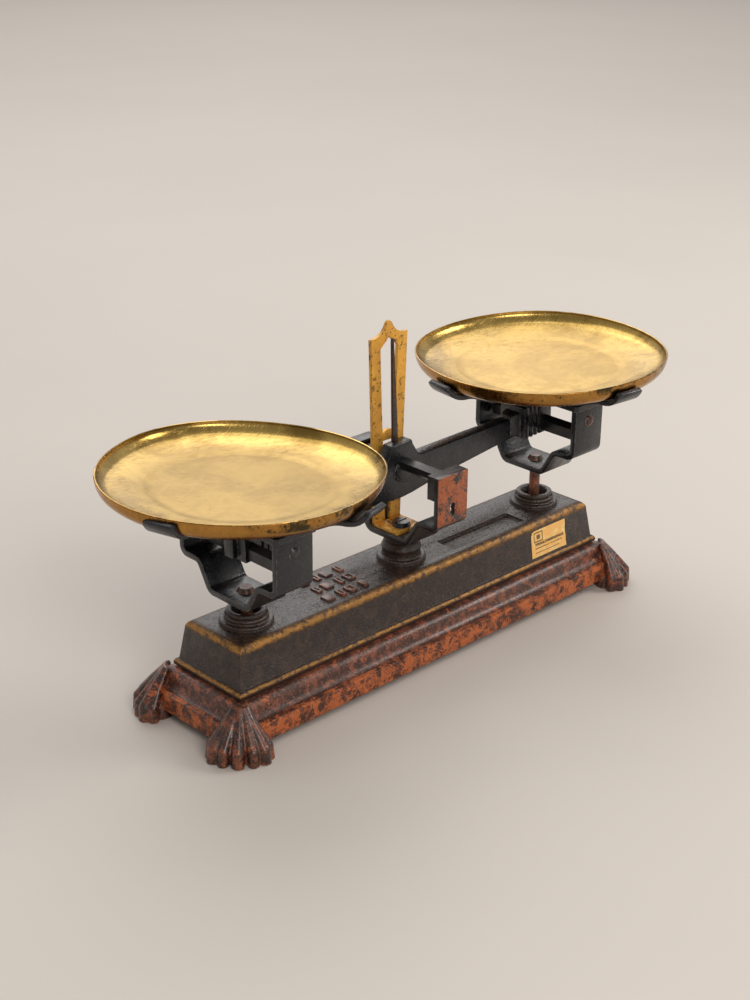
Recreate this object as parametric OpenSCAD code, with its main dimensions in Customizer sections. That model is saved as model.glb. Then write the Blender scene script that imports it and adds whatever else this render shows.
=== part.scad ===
// Counter balance: two brass pans on a cast beam that rocks on knife edges,
// kept level by a hidden stay inside a hollow cast iron base.
// X runs along the beam, the front is -Y, Z is up and the origin is on the
// table under the middle of the base. Millimetres.
// The pieces are drawn as the balance stands when empty hands leave it: left pan down.

/* [Base] */
// Length of the base at the top of its walls
wall_l = 330; // [290:1:380]
// Width of the base at the top of its walls
wall_w = 54.6; // [46:0.2:66]
// Height of the top plate above the table
plate_z = 63.3; // [55:0.1:75]
// Thickness of the iron in the walls and top plate
iron_t = 5; // [4:0.5:7]
// Clear height under the plinth between the paws
plinth_lift = 6.2; // [4:0.1:10]
// Bore in each collar that the rod passes through
collar_bore = 18.2; // [14:0.2:20]

/* [Straps] */
// Thickness of the fork and stirrup strap
strap_t = 4; // [3:0.2:5]
// Width across the outside of the uprights, front to back
strap_span = 93.2; // [80:0.2:110]
// Width of the fork strap along the beam
fork_w = 27.5; // [22:0.5:34]
// Width of the stirrup straps along the beam
stirrup_w = 29; // [22:0.5:34]
// Height of the fork from the boss to its top
fork_h = 57; // [50:0.5:66]
// Height of a stirrup from its bottom to the top of its uprights
stirrup_h = 56; // [52:0.5:64]

/* [Beam] */
// Thickness of the beam plate
beam_t = 9; // [6:0.5:12]
// How far the beam plate sits behind the centre line
beam_back = 4; // [0:0.5:5]
// Depth of the beam below its knife line at the middle
beam_drop = 20; // [14:0.5:24]
// Full swing of the beam between its stops
swing = 5.5; // [3:0.1:7]
// Width of a knife bar
knife_w = 8; // [6:0.5:10]
// Length of the pointer needle above the centre knife edge
needle_l = 91.2; // [70:0.2:110]

/* [Pans] */
// Diameter of a pan across its rim
pan_d = 177.6; // [150:0.2:200]
// Depth of a pan from rim to underside
pan_h = 12.5; // [10:0.5:20]
// Thickness of the pan metal
pan_t = 1.2; // [0.8:0.1:2]
// Turn of the left pan cross on its rivet
left_turn = 18; // [-40:1:40]
// Turn of the right pan cross on its rivet
right_turn = -8; // [-40:1:40]

/* [Rods and stay] */
// Diameter of the carrier rods
rod_d = 7.6; // [6:0.2:10]
// Diameter of the stay and rod pins
pin_d = 5; // [4:0.5:6]

/* [Clearances] */
// Gap between a knife edge and the bottom of its bearing
knife_gap = 0.05; // [0.02:0.01:0.1]
// Radial play of the stay on its pins
pin_play = 0.08; // [0.04:0.01:0.1]
// Gap between a pan and the curled ends of its cross
pan_gap = 0.3; // [0.2:0.05:0.6]
// Side gap between moving cheeks
side_gap = 0.3; // [0.2:0.05:0.6]

/* [Hidden] */
$fn = 64;
tilt = -swing / 2; // the left end is down at rest

// Base outline: each step is [how far outside the wall top, height]
plinth_out = 19.3;
plinth_top = plinth_lift + 12.6;
ogee_r = 6;
line_r = 2.7; // lower gilt line
bead_r = 5.3; // upper gilt bead
line_z = plinth_top + 2 * ogee_r + line_r;
batter = 3.1;
paw_out = 14.2;
paw_long = 22.1;
paw_short = 15.1;
toe_r = 5.6;
panel_sink = 2.2;
label_w = 37;
label_h = 20;
label_t = 0.3;

// Everything along the beam follows from the arm
arm = wall_l / 2 - 27.8;
boss_z = plate_z + 17.1;
collar_z = plate_z + 9;
collar_r = collar_bore / 2 + 3.9;
fork_top = boss_z + fork_h;
knife_z = boss_z + fork_h - 10.9;
end_dx = arm * cos(tilt);
end_dz = arm * sin(-tilt);

// Straps: the same bends for the fork and both stirrups
foot_half = 14.3; // half of the flat foot that the pointer frame is screwed to
shelf_rise = 18.3;
step_bend = 6;
corner_bend = 5;
step_slope = 60;
step_len = (shelf_rise - 2 * step_bend * (1 - cos(step_slope))) / sin(step_slope);
step_run = step_len * cos(step_slope) + 2 * step_bend * sin(step_slope);
shelf_run = strap_span / 2 - strap_t / 2 - corner_bend - step_run - foot_half;
strap_in = strap_span / 2 - strap_t;

// Knives and bearings
knife_tip = 3.5;
end_knife_h = 11;
mid_knife_h = 8;
bearing_t = 6;
bearing_w = 14;
bearing_h = 14;
knife_l = 2 * (strap_in - 2.6);
stirrup_drop = 40; // stirrup bottom below its knife edge
rivet_d = 5;

// Beam
hump_w = 18.8;
hump_h = 19.4;
end_over = 10.3;
hub_l = 28.5;
hub_w = 23;

// Pan carriers, measured up from the stirrup bottom
bridge_w = 34;
bridge_t = 4;
cross_t = 3.5;
cross_w = 24;
hub_r = 27;
pan_r = pan_d / 2;
pan_bend = 11;
pan_lift = stirrup_h + 18;
cross_z = stirrup_h + bridge_t;
curl_in = 14; // inside bend of a curled arm end
curl_r = pan_r - pan_bend + (pan_bend + pan_gap - curl_in) * sin(45);
curl_z = pan_lift + pan_bend - (pan_bend + pan_gap - curl_in) * cos(45);
arm_slope = 22;
arm_bend = 25;
arm_rise = curl_z - curl_in - cross_t - cross_z;
arm_len = (arm_rise - 2 * arm_bend * (1 - cos(arm_slope))) / sin(arm_slope);
arm_flat = curl_r - arm_len * cos(arm_slope) - 2 * arm_bend * sin(arm_slope);
tenon_w = 12;
rivet_head = 2.4;

// Lower stay
stay_z = plate_z - bead_r - end_dz - 7.42;
stay_h = 11;
stay_t = 6;
eye_r = 7;
eye_t = 5;
cheek_t = 3;
cheek_in = eye_t / 2 + side_gap;

// ---------- helpers ----------

// Points on an arc about c, radius r, from angle a to angle b
function arc(c, r, a, b, n = 8) =
  [for (i = [0:n]) c + r * [cos(a + (b - a) * i / n), sin(a + (b - a) * i / n)]];

// A bent strip is a list of [straight length, bend radius, turn]; the walk
// gives [x, y, heading] wherever the strip's centre line starts or ends a facet
bend_n = 6;
function bend(p, r, turn, k) =
  let (s = sign(turn) * r, a = p[2], b = a + turn * k / bend_n)
  [p[0] + s * (sin(b) - sin(a)), p[1] - s * (cos(b) - cos(a)), b];
function ahead(p, d) = [p[0] + d * cos(p[2]), p[1] + d * sin(p[2]), p[2]];
function walk(p, steps, i = 0) =
  i == len(steps) ? [p] :
  let (s = steps[i], q = ahead(p, s[0]))
  s[2] == 0 ? concat([p], walk(q, steps, i + 1)) :
  concat([p], [for (k = [0:bend_n - 1]) bend(q, s[1], s[2], k)],
         walk(bend(q, s[1], s[2], bend_n), steps, i + 1));
function side(path, d) =
  [for (p = path) [p[0] - d * sin(p[2]), p[1] + d * cos(p[2])]];
function strip(start, steps, t) =
  let (path = walk(start, steps), back = side(path, -t / 2), n = len(path))
  concat(side(path, t / 2), [for (i = [0:n - 1]) back[n - 1 - i]]);

// Outline in Y and Z, drawn out along X
module along_x(w) rotate([90, 0, 90]) linear_extrude(w, center = true) children();
// Outline in X and Z, drawn out along Y
module along_y(w) rotate([90, 0, 0]) linear_extrude(w, center = true) children();

// One flute of a paw: a cone that leans from its foot up to the crown
module flute(foot, crown) {
  d = crown - foot;
  translate(foot)
    rotate([0, acos(d[2] / norm(d)), atan2(d[1], d[0])])
      translate([0, 0, -8]) cylinder(h = norm(d) + 8, r1 = toe_r + 1.2, r2 = toe_r - 2.4);
}

// ---------- base ----------

function base_side(half) = concat(
  [[half + plinth_out, plinth_lift], [half + plinth_out, plinth_top]],
  arc([half + plinth_out - 1.8, plinth_top + ogee_r], ogee_r, 270, 180),
  arc([half + plinth_out - 1.8 - 2 * ogee_r, plinth_top + ogee_r], ogee_r, 0, 90),
  [[half + batter, plinth_top + 2 * ogee_r]],
  arc([half + batter, line_z], line_r, -90, 90),
  arc([half - bead_r, plate_z - bead_r], bead_r, 0, 90)
);

function hollow_side(half) = [
  [half + plinth_out - iron_t - 1, -1],
  [half + plinth_out - iron_t - 1, plinth_top - 4],
  [half + batter - iron_t, line_z - 3],
  [half + batter - iron_t, line_z],
  [half - iron_t, plate_z - bead_r]
];

function both_sides(pts) =
  concat(pts, [for (i = [len(pts) - 1:-1:0]) [-pts[i][0], pts[i][1]]]);

module moulded(side_l, side_w) {
  intersection() {
    along_x(2 * wall_l) polygon(both_sides(side_w));
    along_y(2 * wall_w + 4 * paw_long) polygon(both_sides(side_l));
  }
}

// A lion's paw: five flutes that spread from the ogee down to the floor
module paw() {
  c = [wall_l / 2 + paw_out, wall_w / 2 + paw_out];
  intersection() {
    translate([c[0], c[1], 0]) cylinder(h = plinth_top + 10, r = 2 * paw_long);
    union() {
      translate([c[0] - 2, c[1] - 2, 0]) cylinder(h = plinth_top + 8, r1 = paw_short, r2 = 6);
      for (i = [-2:2]) {
        a = i * 40;
        toe = [(paw_short - toe_r) * cos(a), (paw_long - toe_r) * sin(a)];
        foot = [
          c[0] + (toe[0] - toe[1]) * sin(45),
          c[1] + (toe[0] + toe[1]) * sin(45),
          2
        ];
        crown = [c[0] - 5 - toe[1] / 6, c[1] - 5 + toe[1] / 6, plinth_top + 9];
        flute(foot, crown);
      }
    }
  }
}

// Turned collar; the boss under the fork is the same shape, taller and solid
module collar(top, r, z0) {
  skirt = r + 7;
  rotate_extrude() polygon(concat(
    [[0, z0], [skirt, z0], [skirt, plate_z + 1.6]],
    arc([r + 5, plate_z + 1.6 + 4.4], 4.4, 270, 180),
    [[r - 1.4, top - 3], [r, top - 2.4], [r, top], [0, top]]
  ));
}

// Raised bars cast on the left of the top plate, in three rows
module cast_bars() {
  for (row = [-1:1], i = [0:3])
    translate([-arm / 2 - 15 + i * 10 + row * 1.5, row * 13.4, plate_z])
      cube([i % 2 == 0 ? 7.5 : 5, 8.6, 2.4], center = true);
}

module stay_lugs() {
  lug_in = stay_t / 2 + side_gap;
  for (s = [-1, 1])
    translate([0, s * (lug_in + cheek_t / 2 + 0.5), 0])
      along_y(cheek_t + 1) union() {
        translate([0, stay_z]) circle(r = 8);
        translate([-8, stay_z]) square([16, plate_z - iron_t - stay_z + 1]);
      }
}

module base_casting() {
  color([0.17, 0.13, 0.11])
  difference() {
    union() {
      difference() {
        union() {
          moulded(base_side(wall_l / 2), base_side(wall_w / 2));
          for (mx = [0, 1], my = [0, 1]) mirror([mx, 0, 0]) mirror([0, my, 0]) paw();
        }
        moulded(hollow_side(wall_l / 2), hollow_side(wall_w / 2));
        // Sunk panel between the boss and the right collar
        translate([arm * 0.25, -18, plate_z - panel_sink])
          cube([arm * 0.52, 17, panel_sink + 1]);
      }
      for (s = [-1, 1]) translate([s * arm, 0, 0]) collar(collar_z, collar_r, plate_z - iron_t);
      collar(boss_z, 12.4, plate_z - iron_t);
      cast_bars();
      stay_lugs();
    }
    for (s = [-1, 1])
      translate([s * arm, 0, plate_z / 2]) cylinder(h = plate_z, d = collar_bore);
    translate([0, 0, boss_z - 14]) cylinder(h = 20, d = 8);
    translate([0, 0, stay_z]) rotate([90, 0, 0])
      cylinder(h = 40, d = pin_d + 1, center = true);
  }
}

module paper_label() {
  lean = atan(batter / (plate_z - bead_r - line_z - line_r));
  color([0.78, 0.66, 0.42])
  translate([arm * 0.75, -wall_w / 2, plate_z - bead_r])
    rotate([-lean, 0, 0])
      translate([0, -label_t, -label_h - 0.8]) cube([label_w, label_t, label_h]);
}

// ---------- straps ----------

module strap(w, h) {
  rise = h - strap_t / 2 - shelf_rise - corner_bend;
  along_x(w) polygon(strip(
    [-(strap_span - strap_t) / 2, h, -90],
    [
      [rise, corner_bend, 90], [shelf_run, step_bend, -step_slope],
      [step_len, step_bend, step_slope], [2 * foot_half, step_bend, step_slope],
      [step_len, step_bend, -step_slope], [shelf_run, corner_bend, 90], [rise, 0, 0]
    ],
    strap_t
  ));
}

module fork() {
  color([0.20, 0.13, 0.10])
  translate([0, 0, boss_z]) difference() {
    strap(fork_w, fork_h);
    translate([0, 0, -1]) cylinder(h = strap_t + 2, d = 8);
    // Oblong hole through both uprights
    translate([0, 0, fork_h * 0.57]) rotate([90, 0, 0])
      linear_extrude(2 * strap_span, center = true) {
        translate([0, 2]) circle(d = 5);
        translate([0, -2]) circle(d = 5);
        square([5, 4], center = true);
      }
  }
}

module fork_screw() {
  color([0.24, 0.22, 0.2])
  translate([0, 0, boss_z]) {
    translate([0, 0, -14]) cylinder(h = 14 + strap_t + foot_t, d = 8);
    translate([0, 0, strap_t + foot_t]) difference() {
      cylinder(h = 3.4, d1 = 13, d2 = 11);
      translate([0, 0, 3.4]) cube([20, 1.6, 2.4], center = true);
    }
  }
}

// Bearing block with a V that the centre knife rocks in; the top is closed
module fork_bearing() {
  vee = knife_z - knife_gap;
  half = knife_w / 2 + 1.5;
  z0 = vee - 5.4;
  along_y(bearing_t) difference() {
    translate([-fork_w / 2, z0]) square([fork_w, fork_top - z0]);
    polygon([
      [0, vee], [half, vee + half * tan(30)], [half, fork_top - 1.6],
      [-half, fork_top - 1.6], [-half, vee + half * tan(30)]
    ]);
  }
}

module fork_bearing_front() {
  color([0.16, 0.15, 0.16])
  translate([0, -strap_in + bearing_t / 2, 0]) fork_bearing();
}

module fork_bearing_rear() {
  color([0.16, 0.15, 0.16])
  translate([0, strap_in - bearing_t / 2, 0]) fork_bearing();
}

// ---------- pointer ----------

frame_t = 2.5;
frame_y = 13.5;
foot_t = 2;
frame_half = 16.6;
frame_lean = 0.035; // the legs close in by this much per millimetre down
frame_top = fork_top + 79.4;
sill_z = fork_top + 12;

function leg_out(z) = frame_half - frame_lean * (frame_top - z);
function leg_in(z) = leg_out(z) - 8.2 - 0.011 * (frame_top - z);
sill_r = 8; // bow of the sill under the window
sill_a = acos(leg_in(sill_z) / sill_r);

module pointer_frame() {
  z0 = boss_z + strap_t;
  color([0.62, 0.42, 0.14]) difference() {
    union() {
      translate([0, frame_y + frame_t / 2, 0]) along_y(frame_t) difference() {
        polygon(concat(
          [[-leg_out(z0), z0], [leg_out(z0), z0], [leg_out(frame_top), frame_top]],
          arc([frame_half - 2.1, frame_top + 13], 13, 270, 199, 6),
          [[0, frame_top + 10.2]],
          arc([2.1 - frame_half, frame_top + 13], 13, -19, -90, 6),
          [[-leg_out(frame_top), frame_top]]
        ));
        // Window that the needle shows in, with a bowed sill
        polygon(concat(
          [[leg_in(frame_top - 8), frame_top - 8], [0, frame_top - 0.6],
           [-leg_in(frame_top - 8), frame_top - 8]],
          arc([0, sill_z - sill_r * sin(sill_a)], sill_r, 180 - sill_a, sill_a, 6)
        ));
        // Open leg space between the sill and the foot
        polygon([
          [leg_in(sill_z - 5), sill_z - 5], [-leg_in(sill_z - 5), sill_z - 5],
          [-leg_in(z0), z0 + foot_t], [leg_in(z0), z0 + foot_t]
        ]);
      }
      translate([-leg_out(z0), -8, z0]) cube([2 * leg_out(z0), frame_y + 8 + frame_t, foot_t]);
    }
    translate([0, 0, z0 - 1]) cylinder(h = foot_t + 2, d = 8);
  }
}

// ---------- beam ----------

// Everything fixed to the beam turns with it about the centre knife edge
module at_beam() translate([0, 0, knife_z]) rotate([0, tilt, 0]) children();

function knife_shape(h) = [
  [0, 0], [knife_w / 2, -knife_tip], [knife_w / 2, -h], [-knife_w / 2, -h],
  [-knife_w / 2, -knife_tip]
];

// Half of the beam outline, seen from the front, about the knife line
function beam_half() = concat(
  [[0, -beam_drop], [hump_w / 2, -beam_drop + 0.5], [arm * 0.4, -beam_drop + 5],
   [arm - hub_l + 7, -beam_drop + 8.6], [arm + end_over, -beam_drop + 8.6],
   [arm + end_over, 8], [arm - hub_l + 7, 2.4], [hump_w / 2 + 12, 6.2]],
  arc([hump_w / 2 + 10, 12.2], 6, 270, 195, 5),
  [[hump_w / 2, hump_h], [0, hump_h]]
);

module beam_outline() {
  polygon(beam_half());
  mirror([1, 0]) polygon(beam_half());
}

module end_hub() {
  hub_z = [-13, 10.5];
  translate([arm, beam_back, 0]) difference() {
    translate([-hub_l + 6, -hub_w / 2, hub_z[0]]) cube([hub_l, hub_w, hub_z[1] - hub_z[0]]);
    for (s = [-1, 1], i = [0:2])
      translate([-17 + i * 4.6, s * hub_w / 2, 0]) cube([1.6, 2.4, 40], center = true);
  }
}

module knife_slots() {
  along_y(120) {
    for (s = [-1, 1]) translate([s * arm, 0]) polygon(knife_shape(end_knife_h));
    mirror([0, 1]) polygon(knife_shape(mid_knife_h));
  }
}

needle_y = beam_back + 2.5;
needle_set = 7;

module needle_shank() {
  translate([0, needle_y, hump_h - needle_set]) rotate([0, 0, 90])
    translate([-1.1, -2.2, 0]) cube([2.2, 4.4, needle_set]);
}

module beam() {
  color([0.13, 0.13, 0.15]) at_beam() difference() {
    union() {
      translate([0, beam_back, 0]) along_y(beam_t) beam_outline();
      end_hub();
      mirror([1, 0, 0]) end_hub();
    }
    knife_slots();
    needle_shank();
  }
}

module end_knife(s) {
  color([0.1, 0.1, 0.11])
  at_beam() translate([s * arm, 0, 0]) along_y(knife_l) polygon(knife_shape(end_knife_h));
}

module left_knife() { end_knife(-1); }

module right_knife() { end_knife(1); }

module centre_knife() {
  color([0.1, 0.1, 0.11])
  at_beam() along_y(knife_l) mirror([0, 1]) polygon(knife_shape(mid_knife_h));
}

module pointer_needle() {
  color([0.2, 0.12, 0.09]) at_beam() {
    needle_shank();
    translate([0, needle_y, 0]) along_y(2.2) polygon([
      [-2.2, hump_h], [2.2, hump_h], [0.7, needle_l], [-0.7, needle_l]
    ]);
  }
}

// ---------- pan carriers ----------

// Carriers hang plumb from the end knives; s is -1 on the left, 1 on the right
module at_carrier(s) translate([s * end_dx, 0, knife_z + s * end_dz - stirrup_drop]) children();

module stirrup(s) {
  color([0.15, 0.15, 0.17]) at_carrier(s) difference() {
    union() {
      strap(stirrup_w, stirrup_h);
      for (y = [-1, 1])
        translate([0, y * (strap_in + strap_t / 2), stirrup_h + bridge_t / 2 - 0.5])
          cube([tenon_w, strap_t, bridge_t + 1], center = true);
    }
    translate([0, 0, -1]) cylinder(h = strap_t + 2, d = rod_d - 1);
    translate([0, 0, stirrup_drop + 6]) rotate([90, 0, 0])
      cylinder(h = 2 * strap_span, d = rivet_d, center = true);
  }
}

module stirrup_bearing(s, y) {
  color([0.22, 0.21, 0.22]) at_carrier(s)
  translate([0, y * (strap_in - bearing_t / 2), stirrup_drop]) difference() {
    along_y(bearing_t) difference() {
      translate([-bearing_w / 2, -3]) square([bearing_w, bearing_h]);
      polygon([[0, knife_gap], [8, knife_gap - 8 * tan(30)], [-8, knife_gap - 8 * tan(30)]]);
    }
    translate([0, 0, 6]) rotate([90, 0, 0])
      cylinder(h = 2 * bearing_t, d = rivet_d, center = true);
  }
}

// Shank through the upright and bearing, with a domed head outside
module bearing_rivets(s) {
  color([0.30, 0.14, 0.10]) at_carrier(s) for (y = [-1, 1])
    translate([0, 0, stirrup_drop + 6]) rotate([y * -90, 0, 0])
      translate([0, 0, strap_in - bearing_t]) {
        cylinder(h = bearing_t + strap_t + 0.5, d = rivet_d);
        translate([0, 0, bearing_t + strap_t]) rotate_extrude()
          polygon(concat([[0, 0]], arc([0, -2.6], 5, 31.3, 90, 5)));
      }
}

module bridge(s) {
  color([0.15, 0.15, 0.17]) at_carrier(s) difference() {
    translate([-bridge_w / 2, -strap_span / 2 - 2.4, stirrup_h])
      cube([bridge_w, strap_span + 4.8, bridge_t]);
    for (y = [-1, 1])
      translate([0, y * (strap_in + strap_t / 2), stirrup_h + bridge_t / 2])
        cube([tenon_w, strap_t, bridge_t + 2], center = true);
    translate([0, 0, stirrup_h - 1]) cylinder(h = bridge_t + 2, d = 8);
  }
}

module cross(s, turn) {
  color([0.13, 0.13, 0.15]) at_carrier(s) rotate([0, 0, turn]) difference() {
    union() {
      translate([0, 0, cross_z]) cylinder(h = cross_t, r = hub_r);
      for (a = [0:90:270]) rotate([0, 0, a])
        rotate([90, 0, 0]) linear_extrude(cross_w, center = true) polygon(strip(
          [0, cross_z + cross_t / 2, 0],
          [
            [arm_flat, arm_bend, arm_slope], [arm_len, arm_bend, -arm_slope],
            [0, curl_in + cross_t / 2, 60], [4, 0, 0]
          ],
          cross_t
        ));
    }
    translate([0, 0, cross_z - 1]) cylinder(h = cross_t + 2, d = 8);
  }
}

module cross_rivet(s) {
  color([0.14, 0.14, 0.16]) at_carrier(s) {
    translate([0, 0, stirrup_h]) cylinder(h = bridge_t + cross_t, d = 8);
    translate([0, 0, stirrup_h - rivet_head]) cylinder(h = rivet_head, d1 = 9, d2 = 13);
    translate([0, 0, cross_z + cross_t]) cylinder(h = rivet_head, d1 = 14, d2 = 10);
  }
}

// Rod riveted into the stirrup, flattened to an eye at the bottom
rod_drop = knife_z - stirrup_drop - stay_z;

module rod(s) {
  color([0.33, 0.19, 0.13]) at_carrier(s) difference() {
    union() {
      translate([0, 0, -rod_drop]) cylinder(h = rod_drop, d = rod_d);
      cylinder(h = strap_t, d = rod_d - 1);
      translate([0, 0, strap_t]) cylinder(h = 3, d1 = 11.6, d2 = 8);
      translate([0, 0, -rod_drop]) rotate([90, 0, 0])
        cylinder(h = eye_t, r = eye_r, center = true);
    }
    // Flats beside the eye, so the cheeks of the stay pass
    for (y = [-1, 1])
      translate([0, y * (eye_t / 2 + 5), -rod_drop]) cube([30, 10, 2 * eye_r + 3], center = true);
    translate([0, 0, -rod_drop]) rotate([90, 0, 0])
      cylinder(h = 20, d = pin_d, center = true);
  }
}

module rod_pin(s) {
  color([0.35, 0.33, 0.31]) at_carrier(s)
  translate([0, 0, -rod_drop]) rotate([90, 0, 0])
    cylinder(h = 2 * (cheek_in + cheek_t + 1.2), d = pin_d, center = true);
}

module pan(s) {
  inner = pan_bend - pan_t;
  color([0.76, 0.57, 0.26]) at_carrier(s) translate([0, 0, pan_lift])
    rotate_extrude($fn = 96) polygon(concat(
      [[0, 0]],
      arc([pan_r - pan_bend, pan_bend], pan_bend, 270, 360, 10),
      [[pan_r, pan_h], [pan_r - pan_t, pan_h]],
      arc([pan_r - pan_bend, pan_bend], inner, 360, 270, 10),
      [[0, pan_t]]
    ));
}

// ---------- lower stay ----------

module stay_bar() {
  color([0.22, 0.19, 0.17])
  translate([0, 0, stay_z]) rotate([0, tilt, 0]) difference() {
    union() {
      cube([2 * (arm - eye_r - 5), stay_t, stay_h], center = true);
      along_y(stay_t) circle(r = 8);
      for (s = [-1, 1], y = [-1, 1]) {
        translate([s * arm, y * (cheek_in + cheek_t / 2), 0]) along_y(cheek_t) circle(r = eye_r - 0.2);
        translate([s * (arm - 11), y * (cheek_in + cheek_t / 2), 0])
          cube([22, cheek_t, stay_h], center = true);
      }
      for (s = [-1, 1])
        translate([s * (arm - eye_r - 10), 0, 0])
          cube([10, 2 * (cheek_in + cheek_t), stay_h], center = true);
    }
    rotate([90, 0, 0]) cylinder(h = 20, d = pin_d + 1 + 2 * pin_play, center = true);
    for (s = [-1, 1]) translate([s * arm, 0, 0]) rotate([90, 0, 0])
      cylinder(h = 30, d = pin_d + 2 * pin_play, center = true);
  }
}

module stay_pin() {
  color([0.35, 0.33, 0.31]) translate([0, 0, stay_z]) rotate([90, 0, 0])
    cylinder(h = stay_t + 2 * side_gap + 2 * cheek_t + 4, d = pin_d + 1, center = true);
}

// ---------- named nodes ----------

module left_stirrup() { stirrup(-1); }
module left_bearing_front() { stirrup_bearing(-1, -1); }
module left_bearing_rear() { stirrup_bearing(-1, 1); }
module left_bearing_rivets() { bearing_rivets(-1); }
module left_bridge() { bridge(-1); }
module left_cross() { cross(-1, left_turn); }
module left_cross_rivet() { cross_rivet(-1); }
module left_rod() { rod(-1); }
module left_rod_pin() { rod_pin(-1); }
module left_pan() { pan(-1); }
module right_stirrup() { stirrup(1); }
module right_bearing_front() { stirrup_bearing(1, -1); }
module right_bearing_rear() { stirrup_bearing(1, 1); }
module right_bearing_rivets() { bearing_rivets(1); }
module right_bridge() { bridge(1); }
module right_cross() { cross(1, right_turn); }
module right_cross_rivet() { cross_rivet(1); }
module right_rod() { rod(1); }
module right_rod_pin() { rod_pin(1); }
module right_pan() { pan(1); }

base_casting();
paper_label();
fork();
fork_screw();
fork_bearing_front();
fork_bearing_rear();
pointer_frame();
stay_pin();
beam();
centre_knife();
left_knife();
right_knife();
pointer_needle();
stay_bar();
left_stirrup();
left_bearing_front();
left_bearing_rear();
left_bearing_rivets();
left_bridge();
left_cross();
left_cross_rivet();
left_rod();
left_rod_pin();
left_pan();
right_stirrup();
right_bearing_front();
right_bearing_rear();
right_bearing_rivets();
right_bridge();
right_cross();
right_cross_rivet();
right_rod();
right_rod_pin();
right_pan();
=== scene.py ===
import bpy
import math
from mathutils import Matrix, Vector


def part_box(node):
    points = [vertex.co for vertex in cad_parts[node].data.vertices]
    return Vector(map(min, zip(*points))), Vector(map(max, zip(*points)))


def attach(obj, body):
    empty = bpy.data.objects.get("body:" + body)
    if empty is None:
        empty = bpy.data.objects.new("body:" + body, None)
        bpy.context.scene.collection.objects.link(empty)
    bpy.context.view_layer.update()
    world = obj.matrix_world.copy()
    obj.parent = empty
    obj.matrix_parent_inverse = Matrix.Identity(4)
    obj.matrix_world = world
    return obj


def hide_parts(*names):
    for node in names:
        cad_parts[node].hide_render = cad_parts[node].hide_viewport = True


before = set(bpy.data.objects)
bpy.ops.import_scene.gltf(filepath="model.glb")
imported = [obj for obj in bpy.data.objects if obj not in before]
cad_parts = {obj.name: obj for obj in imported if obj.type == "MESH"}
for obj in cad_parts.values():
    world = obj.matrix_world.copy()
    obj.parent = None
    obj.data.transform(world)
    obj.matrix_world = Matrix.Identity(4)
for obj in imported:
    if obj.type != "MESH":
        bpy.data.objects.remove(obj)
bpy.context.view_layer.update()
mm = 0.001


def clearSelection():
    if bpy.context.object and bpy.context.object.mode != "OBJECT":
        bpy.ops.object.mode_set(mode="OBJECT")
    bpy.ops.object.select_all(action="DESELECT")


def pick(piece):
    clearSelection()
    piece.select_set(True)
    bpy.context.view_layer.objects.active = piece


def openMesh(piece):
    pick(piece)
    bpy.ops.object.mode_set(mode="EDIT")
    bpy.ops.mesh.select_all(action="DESELECT")


def closeMesh():
    bpy.ops.object.mode_set(mode="OBJECT")


def selectWhere(piece, test, kind="VERT"):  # test gets a vertex, a face centre and normal, or an edge middle
    bpy.ops.mesh.select_mode(type=kind)
    bpy.ops.mesh.select_all(action="DESELECT")
    bpy.ops.object.mode_set(mode="OBJECT")
    if kind == "VERT":
        for point in piece.data.vertices:
            point.select = bool(test(point.co / mm))
    elif kind == "FACE":
        for face in piece.data.polygons:
            face.select = bool(test(face.center / mm, face.normal))
    else:
        for edge in piece.data.edges:
            here, there = (piece.data.vertices[end].co for end in edge.vertices)
            edge.select = bool(test((here + there) / 2 / mm))
    bpy.ops.object.mode_set(mode="EDIT")


def grow(step):  # extrude what is selected, step in mm
    bpy.ops.mesh.extrude_region_move(TRANSFORM_OT_translate={"value": [v * mm for v in step]})


def firstPoint(name, place):
    clearSelection()
    bpy.ops.mesh.primitive_plane_add(size=0.01, location=(0, 0, 0))
    piece = bpy.context.object
    piece.name = name
    bpy.ops.object.mode_set(mode="EDIT")
    bpy.ops.mesh.select_mode(type="VERT")
    bpy.ops.mesh.select_all(action="SELECT")
    bpy.ops.mesh.merge(type="CENTER")
    bpy.ops.transform.translate(value=[v * mm for v in place])
    return piece


def drawOn(points):
    for here, there in zip(points, points[1:]):
        grow([b - a for a, b in zip(here, there)])


def healNormals():
    bpy.ops.mesh.select_all(action="SELECT")
    bpy.ops.mesh.remove_doubles(threshold=0.0005 * mm)
    bpy.ops.mesh.normals_make_consistent(inside=False)


def lathe(name, profile, steps=96):  # profile of (radius, height), turned about the vertical
    points = [(r, 0, z) for r, z in profile]
    piece = firstPoint(name, points[0])
    drawOn(points)
    bpy.ops.mesh.select_all(action="SELECT")
    bpy.ops.mesh.spin(steps=steps, angle=2 * math.pi, center=(0, 0, 0), axis=(0, 0, 1))
    healNormals()
    closeMesh()
    return piece


def plate(name, outline, thickness, along="Y", middle=0.0):  # outline drawn flat, then given its thickness
    low = middle - thickness / 2
    places = {"X": lambda a, b: (low, a, b), "Y": lambda a, b: (a, low, b), "Z": lambda a, b: (a, b, low)}
    step = {"X": (thickness, 0, 0), "Y": (0, thickness, 0), "Z": (0, 0, thickness)}[along]
    points = [places[along](a, b) for a, b in outline]
    piece = firstPoint(name, points[0])
    drawOn(points)
    bpy.ops.mesh.select_all(action="SELECT")
    bpy.ops.mesh.edge_face_add()
    bpy.ops.mesh.select_all(action="SELECT")
    grow(step)
    healNormals()
    closeMesh()
    return piece


def block(name, size, place):
    clearSelection()
    bpy.ops.mesh.primitive_cube_add(size=1, location=[v * mm for v in place])
    piece = bpy.context.object
    piece.name = name
    piece.scale = [v * mm for v in size]
    bpy.ops.object.transform_apply(location=True, rotation=True, scale=True)
    return piece


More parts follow.
